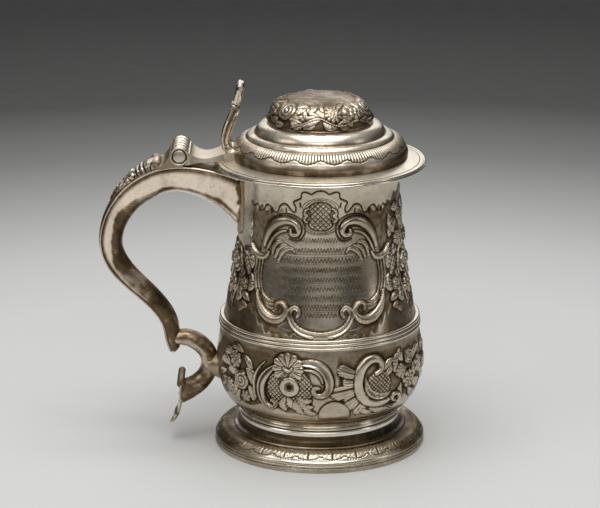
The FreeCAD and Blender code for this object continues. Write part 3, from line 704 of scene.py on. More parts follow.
SPRAY = [("rose", (58.5, 107), 6.2, 2.3), ("flower", (62.5, 95), 5, 2), ("flower", (52, 121.5), 4, 1.6),
    ("flower", (66.5, 119), 4.6, 1.7), ("rose", (48.6, 97.6), 3.6, 1.4), ("flower", (54, 134.5), 3.3, 1.2),
    ("flower", (70.5, 106), 4, 1.7)]
SPRAY_LEAVES = [[(45, 104), (47, 109.5), (51.5, 113.5)], [(44, 124.5), (46.5, 130), (51, 132)],
    [(60, 126), (59, 131), (61.5, 136.5)], [(57.5, 114.5), (60.5, 118), (61, 123.5)],
    [(50.5, 103.5), (53, 100.5), (53.6, 95.6)], [(56, 88), (54, 92), (55, 98)],
    [(64, 85), (62.5, 88), (60, 91)], [(70, 88), (68, 92), (68, 98)],
    [(42.6, 108), (43.6, 114), (46.8, 117.6)], [(44.5, 90), (47.5, 91.5), (51.5, 92)],
    [(47, 139), (50, 139), (54, 140.5)], [(60.5, 140), (64, 136), (66, 130)],
    [(66, 112), (69.5, 113.5), (73, 113)], [(48, 113.5), (48.6, 117), (48, 119)],
    [(71.5, 121), (75.5, 126.5), (76.5, 134)], [(68.5, 126), (70, 133.5), (74, 140)],
    [(74.5, 96.5), (77, 103.5), (76.5, 111)], [(65.5, 80), (70.5, 83.5), (74.5, 90.5)],
    [(53, 83), (49, 86.5), (45.5, 86)], [(44.5, 95.5), (42, 99.5), (43, 104.5)],
    [(75, 115), (78.5, 120), (80, 127)], [(49, 125.5), (45, 130.5), (43.6, 137)]]


def draw_leaves(relief, leaves, width, height):
    """Leaves of three widths in turn."""
    for number, points in enumerate(leaves):
        relief.leaf(points, width + 0.5 * (number % 3), height)


def draw_blooms(relief, blooms, petals, turn):
    """Roses and flowers, each flower with other petals and turned another way."""
    for number, (kind, centre, radius, height) in enumerate(blooms):
        if kind == "rose":
            relief.rose(centre, radius, height)
        else:
            relief.flower(centre, radius, petals + number % 3, height, turn=turn * number, rings=2)


def draw_spray(relief):
    """Flowers in high relief with their leaves, one bunch each side of the cartouche."""
    draw_leaves(relief, SPRAY_LEAVES, 2.1, 1.1)
    relief.scroll([(57, 82.5), (62, 84.5), (60, 90), (55.5, 96), (52.5, 104), (54.5, 113), (58, 121),
        (57, 130)], [0.4, 0.55, 0.6, 0.6, 0.5, 0.4], 0.8)
    draw_blooms(relief, SPRAY, 5, 0.4)


def film(relief, seed):
    """A thin uneven tarnish over a whole surface, about 1."""
    random = np.random.default_rng(seed)
    rows, cols = relief.height.shape
    coarse = random.standard_normal((rows // 24 + 3, cols // 24 + 3))
    up = np.linspace(0, coarse.shape[0] - 1.001, rows)
    across = np.linspace(0, coarse.shape[1] - 1.001, cols)
    i, j = up.astype(int)[:, None], across.astype(int)[None, :]
    fi, fj = (up % 1)[:, None], (across % 1)[None, :]
    fi, fj = fi * fi * (3 - 2 * fi), fj * fj * (3 - 2 * fj)
    soft = ((coarse[i, j] * (1 - fj) + coarse[i, j + 1] * fj) * (1 - fi) + (coarse[i + 1, j] * (1 - fj)
        + coarse[i + 1, j + 1] * fj) * fi)
    return np.clip(1 + 0.45 * soft, 0, 1)


def chase_drum(relief, faces):
    """The whole drum: a cartouche at front and back, and a spray each side of both."""
    for face in faces:
        relief.centre(face)
        relief.ground(drum_ground(relief) * (np.abs(relief.a) < 78))
    for face in faces:
        relief.centre(face)
        draw_crest(relief)
        if face == FRONT:
            draw_panel_rows(relief)
        draw_cartouche(relief)
        draw_oval(relief)
        for flip in (1, -1):
            relief.centre(face, flip)
            draw_spray(relief)


def socket_clear(relief, low, high, reach):
    """Fade the chasing out under the handle's sockets, at -X."""
    relief.centre(-90)
    near = step_up(reach + 6, reach, np.abs(relief.a))
    near = near * step_up(low - 4, low, relief.v) * step_up(high + 4, high, relief.v)
    for field in (relief.height, relief.dark, relief.matt):
        field *= 1 - near


def make_drum(material):
    """The drum's outer face, front and back, down to the middle of the girdle's height."""
    for name, middle, columns, spacing in (("drum_front", FRONT, 470, 0.43), ("drum_back", BACK, 330, 0.6)):
        line = body_line(GIRDLE_LOW + 2, BODY_CURVE[-1][1], spacing)
        theta = np.radians(np.linspace(middle - 90, middle + 90, columns))
        relief = Relief(line[:, 0], line[:, 1], theta)
        chase_drum(relief, (FRONT, BACK))
        socket_clear(relief, low=118, high=175, reach=22)
        height, dark = finish_relief(relief, spacing, wander=0.22, seed=7)
        relief.centre(FRONT)
        # Painted light laid into the tarnish film: a painted highlight lightens the panel, painted shade
        # darkens each side of it and the lower sides where dark reflections fall, and a fixed film on the
        # lip band is painted shade that tones down its bright reflection, partly warm tarnish. The base of
        # 0.2 below the lip band is plain tarnish.
        panel = step_up(24, 15, np.abs(relief.a)) * step_up(88, 98, relief.v) * step_up(138, 132, relief.v)
        tarnish_and_painted_shade = 0.2 - 0.09 * panel + 0.2 * bell(relief.a, -25, 8) + 0.1 * bell(relief.a, 24, 7)
        tarnish_and_painted_shade = tarnish_and_painted_shade + 0.26 * step_up(92, 84, relief.v) * step_up(30, 44, np.abs(relief.a))
        tarnish_and_painted_shade = tarnish_and_painted_shade * step_up(3, -5, relief.v - 142) + 0.13 * step_up(-5, 3, relief.v - 142)
        dark = np.maximum(dark, film(relief, seed=21) * tarnish_and_painted_shade)
        fade = step_up(GIRDLE_HIGH + 0.2, GIRDLE_HIGH + 1.6, relief.v) * step_up(160.5, 157, relief.v)
        points = turned(line, theta) + turned(line_normals(line), theta) * (height * fade)[..., None]
        surface(name, points, material, "vessel", ["body_shell"], (False, False), dark,
            relief.matt * fade)


# ------------------------------------------------------------------ chasing on the belly
def belly_ground(relief):
    """Matting behind the belly's relief, but for a plain gap in the middle."""
    x, v = relief.a, relief.v
    low = 33.5 + 2.2 * np.cos(x * 0.23 + 0.6)
    mask = step_up(70, 63.5, v) * step_up(-0.6, 1.6, v - low)
    gap = step_up(7, 4.5, np.abs(x - 2.5 - (50 - v) * 0.1) - 2)
    return mask * (1 - 0.85 * gap)


SHELL_LEAVES = [[(-17.5, 42.6), (-16, 38.6), (-12.6, 34.8)], [(-12.6, 42.4), (-9, 40.4), (-4.4, 41.2)],
    [(-12, 40.6), (-8.4, 36.8), (-3.6, 37.2)], [(-13.6, 40), (-11.6, 35), (-7.4, 32.6)],
    [(-8.4, 36.6), (-5.6, 33.4), (-1.8, 33)], [(-19.4, 41.4), (-20.8, 37.4), (-18.4, 33.8)]]
FAN_LEAVES = [[(38, 52), (41, 54), (41, 58)], [(37, 55), (40, 58), (44, 60)],
    [(28, 33.6), (32, 31.6), (37, 32.6)], [(21.6, 34.6), (25, 32), (29, 31.6)]]


def draw_shell_motif(relief):
    """A shell over a domed eye, in basket work, between two C scrolls."""
    middle = (-16.8, 48.2)
    cells, x, y = relief.near([middle], 14, middle)
    inside = (np.hypot(x / 12.6, (y + 1) / 11) < 1) & (np.hypot(x, y) > 5.2)
    relief.basket(inside, cells)
    relief.scroll([(-25.6, 58.2), (-31.2, 53.2), (-34.2, 46.4), (-33.2, 39.8), (-29.6, 35.8), (-26, 35.4),
        (-24.6, 38.2), (-27, 39.4)], [1.4, 2.2, 2.5, 2.5, 2.2, 1.7, 1.3, 0.9], 1.7, "double")
    relief.scroll([(-10.4, 61.4), (-3.6, 61.4), (2.2, 57.8), (4.8, 51.8), (3.9, 46.4), (0.2, 43.8),
        (-3.2, 45.2), (-3.2, 48.2), (-0.8, 48.2)], [1.4, 2.2, 2.6, 2.6, 2.4, 2, 1.5, 1.2, 0.9], 1.7,
        "hollow")
    relief.scroll([(-8.4, 58), (-3.6, 57.4), (0, 54.8), (1.2, 51.2)], [0.5, 0.9, 0.9, 0.5], 0.9)
    relief.scroll([(-31.2, 60.6), (-36.4, 55), (-38.8, 46.8), (-37.4, 38.6)], [0.3, 0.7, 0.7, 0.3], 0.6)
    for lean in (-1, 1):
        relief.leaf([(-17.4, 57.4), (-17.4 + lean * 3.4, 57.6), (-17.4 + lean * 6.8, 55)], 1.7, 1.2)
        relief.leaf([(-17.2, 56.6), (-17.2 + lean * 2, 54.4), (-17.2 + lean * 5.2, 52.4)], 1.2, 0.9)
    relief.shell((-17.6, 58), 8.6, 9, 1.9)
    relief.scroll([(-19.8, 58.4), (-17.6, 56.8), (-15.4, 58.4)], [0.7, 1, 0.7], 1.7)
    ring = [(middle[0] + 4 * math.cos(t), middle[1] + 3.9 * math.sin(t))
        for t in np.linspace(0, 2 * math.pi, 13)]
    relief.scroll(ring, [1.5, 1.5], 2)
    cells, r, angle = relief.polar(middle, 4)
    relief.height[cells] = np.where(r < 2.3, 1.9 - 2.2 * dome(r / 2.3), relief.height[cells])
    relief.dark[cells] = np.where(r < 2.2, 0.25 + 0.6 * (r / 2.2 < 0.75), relief.dark[cells])
    for points in SHELL_LEAVES:
        relief.leaf(points, 1.9, 1.2)


def draw_fan_motif(relief):
    """A ragged rocaille fan held by a tall C scroll, with a plain mound below."""
    centre = (31, 50)
    cells, r, angle = relief.polar(centre, 1, [(6, 31), (30, 62)])
    turn = np.degrees(angle) % 360
    steps = ((150, 22), (158, 23.5), (166, 22), (168, 18.5), (176, 19.2), (183, 18.6), (185, 25),
        (194, 26.5), (202, 24), (204, 20.4), (212, 21), (214, 24.4), (220, 25), (225, 22.6), (227, 20),
        (232, 20.6), (234, 22.8), (242, 22), (250, 18))
    edge = np.interp(turn, [t for t, _ in steps], [reach for _, reach in steps])
    edge = edge + 0.6 * np.sin(turn * 1.9) + 0.5 * np.sin(turn * 4.7) * np.sin(turn * 0.7)
    inside = (r < edge) & (r > 8) & (turn > 150) & (turn < 250)
    wave = np.abs(np.sin(np.radians(turn - 150) * 9))
    fine = np.abs(np.sin(np.radians(turn - 150) * 27))
    h = 0.35 + (0.65 * wave ** 0.8 + 0.26 * fine) * step_up(30, 13, r)
    relief.raise_to(cells, h, inside)
    rim = bell(r, edge, 0.32) * (turn > 149) * (turn < 251)
    ink = np.maximum((1 - wave) ** 2 * 0.7, (1 - fine) ** 2 * 0.55) * inside
    relief.ink(np.maximum(ink, rim), cells)
    relief.height[cells] -= 0.3 * rim
    cells, x, y = relief.near([(0, 27), (16, 42)], 1, (7.6, 31))
    u = np.hypot(x / 8.6, y / 9.4)
    relief.raise_to(cells, 1.1 * dome(u) * step_up(-4.5, 1, y), (u < 1) & (y > -4))
    relief.dark[cells] = np.maximum(relief.dark[cells] * (u > 1), 0.9 * bell(u, 1.03, 0.05) * (y > -2))
    middle = (33.6, 47.4)
    cells, x, y = relief.near([middle], 9, middle)
    relief.basket(np.hypot(x / 7.6, y / 7.4) < 1, cells)
    relief.scroll([(31.6, 53.6), (34.4, 55.2), (35, 59), (31.4, 61.8), (26.2, 61), (22.4, 57), (20.8, 50.4),
        (21.8, 43.8), (26, 38.6), (32.6, 36.2), (40.6, 37.6)], [1, 1.6, 2.2, 2.7, 2.8, 2.7, 2.7, 2.6, 2.4,
        1.7, 0.6], 2)
    relief.scroll([(25.4, 51.6), (26.6, 45.8), (30.4, 41.8), (36, 40.4), (41, 41.6)],
        [0.4, 1.7, 2.2, 1.8, 0.5], 1.3, "hollow")
    relief.scroll([(40, 33), (45.6, 32), (48.8, 35.6), (46.8, 39.2), (43.2, 38.6), (43.2, 36),
        (45.2, 35.8)], [0.4, 1.2, 1.5, 1.4, 1.2, 1, 0.7], 1.5)
    for points in FAN_LEAVES:
        relief.leaf(points, 1.7, 1.1)


BELLY_FLOWERS = [("flower", (56.5, 45.5), 5.2, 1.35), ("rose", (57.5, 58), 4.4, 1.25),
    ("flower", (49, 52), 3.8, 1.1), ("flower", (68, 51), 5, 1.3), ("rose", (-47.8, 47), 5.8, 1.3),
    ("flower", (-53, 57.5), 4.8, 1.2), ("flower", (-44.5, 38.2), 3.6, 1.1),
    ("flower", (-58.5, 41.5), 4.4, 1.2), ("rose", (79.5, 50), 5.2, 1.2)]
BELLY_LEAVES = [[(50, 44), (49, 39), (52.5, 35.6)], [(58, 39), (61, 35.6), (65.5, 35.4)],
    [(62, 44), (66, 41), (70.5, 42)], [(62, 56), (66, 60), (71, 60.6)], [(51, 57.5), (49, 61), (50, 64)],
    [(73, 47.5), (76, 43), (80, 40)], [(-41.5, 52), (-42, 57), (-46, 61)],
    [(-42, 44), (-40, 41), (-39, 36)], [(-52, 50), (-56, 51), (-60, 49)], [(-50, 40), (-52, 36), (-50, 33)],
    [(-57, 60), (-61, 60), (-64, 57)], [(-63, 44), (-66, 42), (-68, 38)], [(76, 56), (78, 60), (82, 62)],
    [(86, 53.5), (84.5, 57.5), (81, 58.5)], [(-43.5, 54), (-40, 50), (-39.5, 45.5)],
    [(-47.5, 62.5), (-52, 64), (-57, 62.5)], [(-53, 44.5), (-54.5, 39.5), (-58, 35.8)],
    [(-59.5, 53), (-64, 54.5), (-69, 52.5)], [(-63.5, 48.5), (-68, 47), (-72, 44.5)],
    [(46.5, 61), (44.8, 56.5), (45.4, 51.5)], [(62.5, 52.5), (63, 48.5), (61.4, 45)],
    [(54, 52.5), (51.5, 49.5), (52.2, 46)]]


WIDEST = 58.1


def make_belly(material):
    """The belly's outer face, front and back; its relief never stands wider than the foot."""
    for name, middle, columns, spacing in (("belly_front", FRONT, 500, 0.36),
            ("belly_back", BACK, 340, 0.52)):
        line = body_line(BODY_CURVE[0][1], GIRDLE_LOW + 2, spacing)
        theta = np.radians(np.linspace(middle - 90, middle + 90, columns))
        relief = Relief(line[:, 0], line[:, 1], theta)
        for face in (FRONT, BACK):
            relief.centre(face)
            relief.ground(belly_ground(relief) * (np.abs(relief.a) < 86), 0.2)
        for face in (FRONT, BACK):
            relief.centre(face)
            draw_leaves(relief, BELLY_LEAVES, 1.9, 0.85)
            draw_blooms(relief, BELLY_FLOWERS, 6, 0.5)
            draw_fan_motif(relief)
            draw_shell_motif(relief)
        socket_clear(relief, low=38, high=62, reach=9)
        height, dark = finish_relief(relief, spacing, wander=0.2, seed=11)
        dark = np.maximum(dark, film(relief, seed=22) * (0.16 + 0.22 * step_up(60, 66, relief.v)))
        fade = step_up(25, 29, relief.v) * step_up(GIRDLE_LOW + 0.4, GIRDLE_LOW - 1.2, relief.v)
        line_ink = 0.8 * bell(relief.v, 27.2, 0.35)
        room = WIDEST - line[:, :1]
        height = room * np.tanh(height * fade / room) - 0.2 * bell(relief.v, 27.2, 0.35)
        points = turned(line, theta) + turned(line_normals(line), theta) * height[..., None]
        surface(name, points, material, "vessel", ["body_shell"], (False, False),
            np.maximum(dark * fade, line_ink), relief.matt * fade)


def make_inside(material):
    """The plain inner wall and bottom, seen when the lid is open."""
    wall = body_line(BODY_CURVE[0][1], BODY_CURVE[-1][1], 1.5)
    inner = wall - line_normals(wall) * SHEET
    inner[-1] = (inner[-1][0], BODY_CURVE[-1][1])
    bottom = [(0.05, 19.3), (20, 19.3), (38.5, 19.35), (40.8, 19.7)]
    line = evenly(np.vstack([spline(bottom, 30), inner]), 1.6)
    theta = np.radians(np.arange(0, 360, 2.5))
    points = turned(line, theta)[::-1]
    surface("body_inside", points, material, "vessel", ["body_shell"])


# ------------------------------------------------------------------ foot, lid and boss
def outline(start, *steps):
    """An (r, z) line. A point ends a straight run, a pair an arc, and a longer list a smooth curve."""
    points = [start]
    for step in steps:
        if isinstance(step, tuple):
            points.append(step)
        elif len(step) == 2:
            points += arc_points(points[-1], *step)
        else:
            points += [tuple(p) for p in spline([points[-1]] + step, 10 * len(step))[1:]]
    return np.array(points, float)


def ring_angles(columns):
    """Angles all round, starting at the back."""
    return np.radians(np.arange(columns) * 360 / columns - 180)


def turned_sheet(name, outer, inner, relief, height, dark, material, body, replaced):
    """A turned sheet, closed all round: its chased outer face, then its plain inner face."""
    theta = relief.theta
    outside = turned(outer, theta) + turned(line_normals(outer), theta) * height[..., None]
    inside = turned(np.asarray(inner, float)[::-1], theta)
    points = np.vstack([outside, inside])
    plain = np.zeros(inside.shape[:2])
    surface(name, points, material, body, replaced, (True, True), np.vstack([dark, plain]),
        np.vstack([relief.matt, plain]))


RING_STEP = 0.12
RING_COLUMNS = 400
GIRDLE_RADIUS = 55.1


def ring_piece(name, line, material, body, replaced, soften=0.9, base=0):
    """A turned ring with a closed outline, dark wherever its outline is hollow."""
    line = evenly(np.vstack([line, line[:1]]), RING_STEP)[:-1]
    reach = max(1, int(soften / RING_STEP))
    wrapped = np.vstack([line[-3 * reach:], line, line[:3 * reach]])
    soft = smooth_rows(smooth_rows(wrapped, reach), reach)[3 * reach:-3 * reach]
    normal = line_normals(np.vstack([line[-1:], line, line[:1]]))[1:-1]
    hollow = ((soft - line) * normal).sum(1)
    dark = np.clip(hollow * 55 - 0.15, 0, 0.95) + base
    points = turned(line, ring_angles(RING_COLUMNS))
    surface(name, points, material, body, replaced, (True, True),
        np.broadcast_to(dark[:, None], points.shape[:2]))


def smooth_rows(rows, reach):
    """Each row replaced by the mean of those within reach of it."""
    total = np.cumsum(np.pad(rows, [(reach + 1, reach), (0, 0)], mode="edge"), axis=0)
    width = 2 * reach + 1
    return (total[width:] - total[:-width]) / width


def make_rings(chased, bright, flange):
    """The plain turned mouldings: girdle, foot collar, foot rim, lid edge and lip."""
    pitch = (GIRDLE_HIGH - GIRDLE_LOW) / 3
    steps = []
    for reed in range(3):
        low_r, high_r = (GIRDLE_RADIUS - 0.9 * (reed + part) / 3 for part in (0.5, 1))
        base = GIRDLE_LOW + reed * pitch
        steps.append([(low_r + 0.4 * pitch, base + 0.5 * pitch), (high_r, base + pitch)])
    girdle = outline((GIRDLE_RADIUS, GIRDLE_LOW), *steps, (51.4, GIRDLE_HIGH), (52.6, GIRDLE_LOW))
    ring_piece("girdle_reeds", girdle, chased, "vessel", ["girdle_band"])
    collar = outline((42.4, 15.7), (44.3, 15.7), (44.65, 16.1), (44.7, 18), (44.3, 18.6), (43.6, 18.7),
        (43.5, 18.8), (43.7, 19), [(44.1, 19.5), (43.6, 20.1)], (43.1, 20.6), (41.6, 20.4))
    # The collar, lip and lid edge take the brighter copy of the silver, a painted highlight.
    ring_piece("collar_ring", collar, bright, "vessel", ["foot_collar"], soften=0.6)
    rim = outline((55.8, 0), (57.8, 0), [(58.1, 0.1), (58.2, 0.4)], (58.2, 2.3), (57.85, 2.55),
        [(58.15, 3.2), (57.6, 4)], (55.8, 4))
    ring_piece("rim_wire", rim, chased, "vessel", ["foot_rim"], base=0.28)
    edge = outline((56, 159.2), (56.9, 158.7), [(57.7, 159.35), (57, 160.1)],
        [(57.25, 160.8), (56.6, 161.25)], (56, 161))
    ring_piece("lid_edge_reeds", edge, bright, "lid", ["lid_edge_wire"], soften=0.5,
        base=0.12)
    lip = outline((44.4, 156.5), (45.7, 156.5), [(47, 156.9), (47.2, 158.4)], [(47.3, 159.2), (48, 159.6)],
        [(48.3, 160.6), (47.6, 161.2)], (46.2, 161.2))
    ring_piece("lip_moulding", lip, bright, "vessel", ["lip_wire"], soften=0.5)
    plate = outline((42.2, 161.7), (49.4, 161.7), (56.1, 159.5), (56.1, 160.8), (54.6, 161.12), (54.3, 161),
        (54, 161.22), (47.9, 162.75), (42.2, 162.75))
    # The lid plate takes the brighter flange copy of the silver, a painted highlight.
    ring_piece("lid_plate", plate, flange, "lid", ["lid_flange"], soften=0.5)


def lobed(theta, count):
    """0 between lobes and 1 at each lobe's tip, with the small shoulders of a chased border."""
    phase = (theta * count / (2 * math.pi)) % 1
    x = np.abs(phase - 0.5) * 2
    return np.clip(1 - x, 0, 1) ** 0.8 * 0.75 + 0.25 * step_up(0.75, 0.55, x)


def make_foot(material):
    """The foot's stepped dome, with a lobed border of punched work and radial slits."""
    outer = evenly(outline((57.6, 4), [(58, 5.1), (57.2, 6.2)], [(53.9, 9.5), (47.8, 10.3)], (47.5, 11),
        (46.1, 11.3), [(44.3, 12.7), (43.7, 15.6)], (42.6, 18.3)), 0.32)
    inner = evenly(outline((56.6, 4), (56.2, 5.8), [(53.2, 8.5), (47, 9.3)], (45.6, 10.2),
        [(43.4, 12.2), (42.7, 15.4)], (41.6, 18.3)), 2)
    theta = ring_angles(1000)
    along = travelled(outer)
    relief = Relief(outer[:, 0], along, theta)
    lobes = 26
    arc = ((theta[None, :] * lobes / (2 * math.pi)) % 1 - 0.5) * 2 * math.pi / lobes * 55
    bracket = np.clip(1 - (np.abs(arc) / 5.2) ** 2, 0, 1) ** 0.5 * 1.9 + 0.6 * bell(np.abs(arc), 5, 0.6)
    edge = 5.6 - bracket + 0.25 * np.sin(arc * 4.3)
    ends = step_up(11.6, 10.4, relief.v + 0.5 * np.cos(arc * 1.2))
    band = step_up(-0.1, 0.3, relief.v - edge) * ends
    slit = bell(arc, 0.08 * (relief.v - 5), 0.3)
    slit = slit * step_up(3.6, 4.2, relief.v) * step_up(8.6, 7.6, relief.v)
    curls = np.abs(np.sin(arc * 1.25 + 0.8 * np.sin(relief.v * 1.4))) * np.abs(np.cos(relief.v * 0.9))
    relief.matt = np.maximum(relief.matt, 0.6 * band)
    relief.height += band * (0.22 * curls + 0.05)
    relief.ink(band * np.clip(0.45 * (1 - curls) ** 2, 0, 0.5))
    line_mark = bell(relief.v, edge, 0.25)
    relief.height -= 0.35 * np.maximum(slit, line_mark)
    relief.ink(np.maximum(slit, line_mark))
    relief.ink(0.9 * bell(outer[:, :1], 47.2, 0.35))
    # Painted shade: darker from the upper ovolo up, over the shadowed ledge and cavetto.
    relief.ink(0.5 * step_up(8, 10, relief.v))
    height, dark = finish_relief(relief, 0.32, wander=0.08, seed=5)
    relief.centre(FRONT)
    # Painted shade: darker towards the left and right as seen from the front, laid over uneven tarnish that
    # thickens from the upper ovolo up.
    side = 0.4 * step_up(22, 62, np.abs(relief.a))
    dark = np.maximum(dark, film(relief, seed=25) * (0.12 + side + 0.22 * step_up(7.5, 9.5, relief.v)))
    # Painted shadow in the hollow under the collar.
    dark = np.maximum(dark, 0.8 * step_up(46.6, 45.2, outer[:, :1]) * step_up(18, 15, outer[:, 1:]))
    height *= step_up(0, 1, relief.v) * step_up(along[-1], along[-1] - 1.5, relief.v)
    turned_sheet("foot_dome_chased", outer, inner, relief, height, dark, material, "vessel", ["foot_dome"])


def make_dome(material):
    """The lid's stepped dome: a fluted and lobed border on its skirt, and two plain reeds."""
    outer = evenly(outline((47.3, 162.8), [(47.8, 166), (46.3, 169.2)], [(44.1, 172.1), (40.9, 173.8)],
        (40.3, 173.7), [(38.8, 175.6), (36.1, 176.3)], (35.6, 176.1), [(33.6, 179.9), (28, 181.8)],
        (27.2, 182)), 0.4)
    inner = evenly(outline((46.1, 162.8), [(46.7, 166), (45.2, 168.7)], [(43.3, 171.2), (40.5, 172.6)],
        (39.9, 172.6), [(38.2, 174.6), (35.9, 175.1)], (34.9, 175), [(32.6, 179.2), (27.2, 180.8)]), 2.5)
    theta = ring_angles(1360)
    along = travelled(outer)
    relief = Relief(outer[:, 0], along, theta)
    lobes = 20
    flutes = 170
    turn = theta[None, :]
    seam = along[np.argmin(np.abs(outer[:, 0] - 40.9))]
    edge = 9 - 2.5 * lobed(turn, lobes)
    wave = np.abs(np.sin(turn * flutes / 2))
    band = step_up(0, 0.35, relief.v - edge) * step_up(seam - 0.7, seam - 1.3, relief.v)
    relief.height += band * (0.3 * wave ** 0.7 - 0.1)
    relief.ink(0.75 * band * (1 - wave) ** 2)
    mark = bell(relief.v, edge, 0.26)
    relief.height -= 0.3 * mark
    relief.ink(mark)
    for radius in (40.4, 35.7):
        relief.ink(0.75 * bell(outer[:, :1], radius, 0.35))
    height, dark = finish_relief(relief, 0.4, wander=0.05, seed=3)
    relief.centre(FRONT)
    # Painted shade: darker towards the left and right as seen from the front, over uneven tarnish that is
    # also heavier towards the skirt's foot.
    side = 0.2 * step_up(28, 62, np.abs(relief.a))
    lower = 0.3 * step_up(7.5, 5, relief.v) + 0.35 * step_up(3.4, 0.6, relief.v)
    dark = np.maximum(dark, film(relief, seed=26) * (0.05 + side + lower))
    height *= step_up(0, 1, relief.v) * step_up(along[-1], along[-1] - 1, relief.v)
    dark = np.maximum(dark, 0.5 * step_up(1.6, 0, relief.v))
    turned_sheet("lid_dome_chased", outer, inner, relief, height, dark, material, "lid", ["lid_dome"])


BOSS_RADIUS = 27
BOSS_LEAVES = [[(-1, 8.8), (-4.6, 10.6), (-9.6, 15.2)], [(-1.4, 8.2), (-5, 7.6), (-8.6, 9.4)],
    [(0, 7.8), (-6, 5.2), (-12.4, 3.4)], [(-10.5, 2.6), (-14, 3.6), (-16.4, 6)],
    [(-27, 8), (-28.4, 12), (-26.6, 16.4)], [(-16, 14.6), (-13.4, 16.6), (-10.2, 17.6)],
    [(1.6, 13), (0.6, 15.6), (2.4, 18)], [(12, 14.4), (14.4, 16.6), (18, 17.2)],
    [(13.4, 6.8), (15.4, 4.4), (18.6, 3.6)], [(2, 5.6), (4.4, 3.4), (8.4, 2.8)],
    [(26, 10), (27.6, 13.6), (25.4, 17)], [(17, 9.8), (16, 12.4), (17.4, 15)],
    [(24.4, 5), (27.4, 4.4), (30, 6.2)], [(-21, 3.4), (-24.4, 2.6), (-28, 4.2)],
    [(10, 4.6), (12.4, 2.6), (15.6, 1.8)], [(-6.6, 12.6), (-4, 14.6), (-3, 17.6)]]


def make_boss(material):
    """The bun-shaped cap: roses, daisies and leaves round its side, worn smooth and dark on top."""
    outer = evenly(outline((28.2, 181.9), [(28.9, 183.2), (28.3, 185.7), (26.8, 188.6), (24.8, 191.2),
        (21.6, 193.5), (16.5, 194.9), (9, 195.6), (0, 195.8)]), 0.42)
    outer[-1] = (0, 195.8)
    inner = evenly(outline((27.2, 181.9), [(27.9, 183.3), (27.3, 185.4), (25.9, 188.2), (24, 190.5),
        (21.1, 192.5), (16.3, 193.9), (9, 194.6), (0, 194.8)]), 2)
    inner[-1] = (0, 194.8)
    theta = ring_angles(620)
    along = travelled(outer)
    relief = Relief(np.full(len(outer), BOSS_RADIUS), along, theta)
    turn = theta[None, :]
    low = step_up(0.4, 1.2, relief.v) * step_up(10, 5, relief.v + 0.8 * np.sin(turn * 9))
    relief.ground(low, 0.12, 0.8)
    upper = step_up(17.5, 14.5, relief.v + 0.9 * np.sin(turn * 12)) * step_up(4, 8, relief.v)
    relief.ground(upper, 0.05, 0.2)
    for number, centre in enumerate((40, 80, 160, 200, 280, 320)):
        relief.centre(centre, 1 - 2 * (number % 2))
        for points in BOSS_LEAVES[:8]:
            relief.leaf(points, 1.3, 0.24, 3)
    for centre in (0, 120, 240):
        relief.centre(centre)
        for number, points in enumerate(BOSS_LEAVES):
            relief.leaf(points, 1.45 + 0.25 * (number % 2), 0.5, 4)
        relief.rose((-21.7, 11.3), 6, 0.72)
        relief.flower((7.5, 10.8), 5.4, 11, 0.72, rings=2)
        relief.flower((21.8, 9.4), 4.1, 5, 0.78, 0.4)
        relief.flower((-13.4, 12), 2.4, 5, 0.38, 0.2)
        relief.scroll([(-16, 2.2), (-9, 5), (0, 8), (4, 6), (12, 3.4), (20, 5.2), (30, 2.4)],
            [0.3, 0.4, 0.45, 0.4, 0.4, 0.4, 0.3], 0.4)
        relief.cut([(-24, 17.8), (-18, 19), (-10, 19.2), (-4, 18.4), (2, 19.6), (10, 19.4), (18, 18.6),
            (26, 19.4)], 0.3, 0.12, 0.5)
    radius = outer[:, :1]
    height, dark = finish_relief(relief, 0.42, wander=0.12, seed=9)
    face = turned(outer, theta)
    worn = blotches(face, seed=31, size=19) + 0.5 * blotches(face, seed=32, size=4)
    dark = dark * step_up(8, 16, radius)
    dark = np.maximum(dark, np.clip(0.56 + 0.07 * worn, 0, 0.8) * step_up(13, 18, relief.v))
    dark = np.maximum(dark, np.clip(0.24 + 0.08 * worn, 0, 0.7))
    height *= step_up(0, 1, relief.v) * step_up(6, 14, radius)
    turned_sheet("lid_boss_chased", outer, inner, relief, height, dark, material, "lid", ["lid_boss"])


# ------------------------------------------------------------------ handle
HANDLE_STATIONS = [(-36, 148, 22, 25.4), (-48, 152.8, 22.8, 20.6), (-62, 156.7, 24, 17),
    (-79, 158.2, 24, 15), (-96, 153, 20.5, 14.6), (-110.3, 140.6, 17.5, 13.2), (-118.2, 125, 15.5, 12),
    (-118.9, 110, 14.5, 11), (-107.7, 91.8, 13.5, 9.6), (-91.4, 76.3, 12.5, 8.2), (-85.6, 66.5, 11.5, 7.8),
    (-83.5, 56.5, 10.5, 6.8), (-81.8, 51.9, 9.5, 4.8)]
SCROLL_STATIONS = [(-81, 58.2, 9.5, 4), (-75, 59, 10.5, 4.6), (-67.4, 56, 11, 4.9), (-62, 50, 11, 4.9),
    (-61, 43, 11, 4.9), (-63.8, 36.2, 11, 5), (-69.6, 30.8, 11, 5.6), (-79.5, 26.6, 11, 7)]


PLATE = 0.75
BEAD_INSET = 1.25


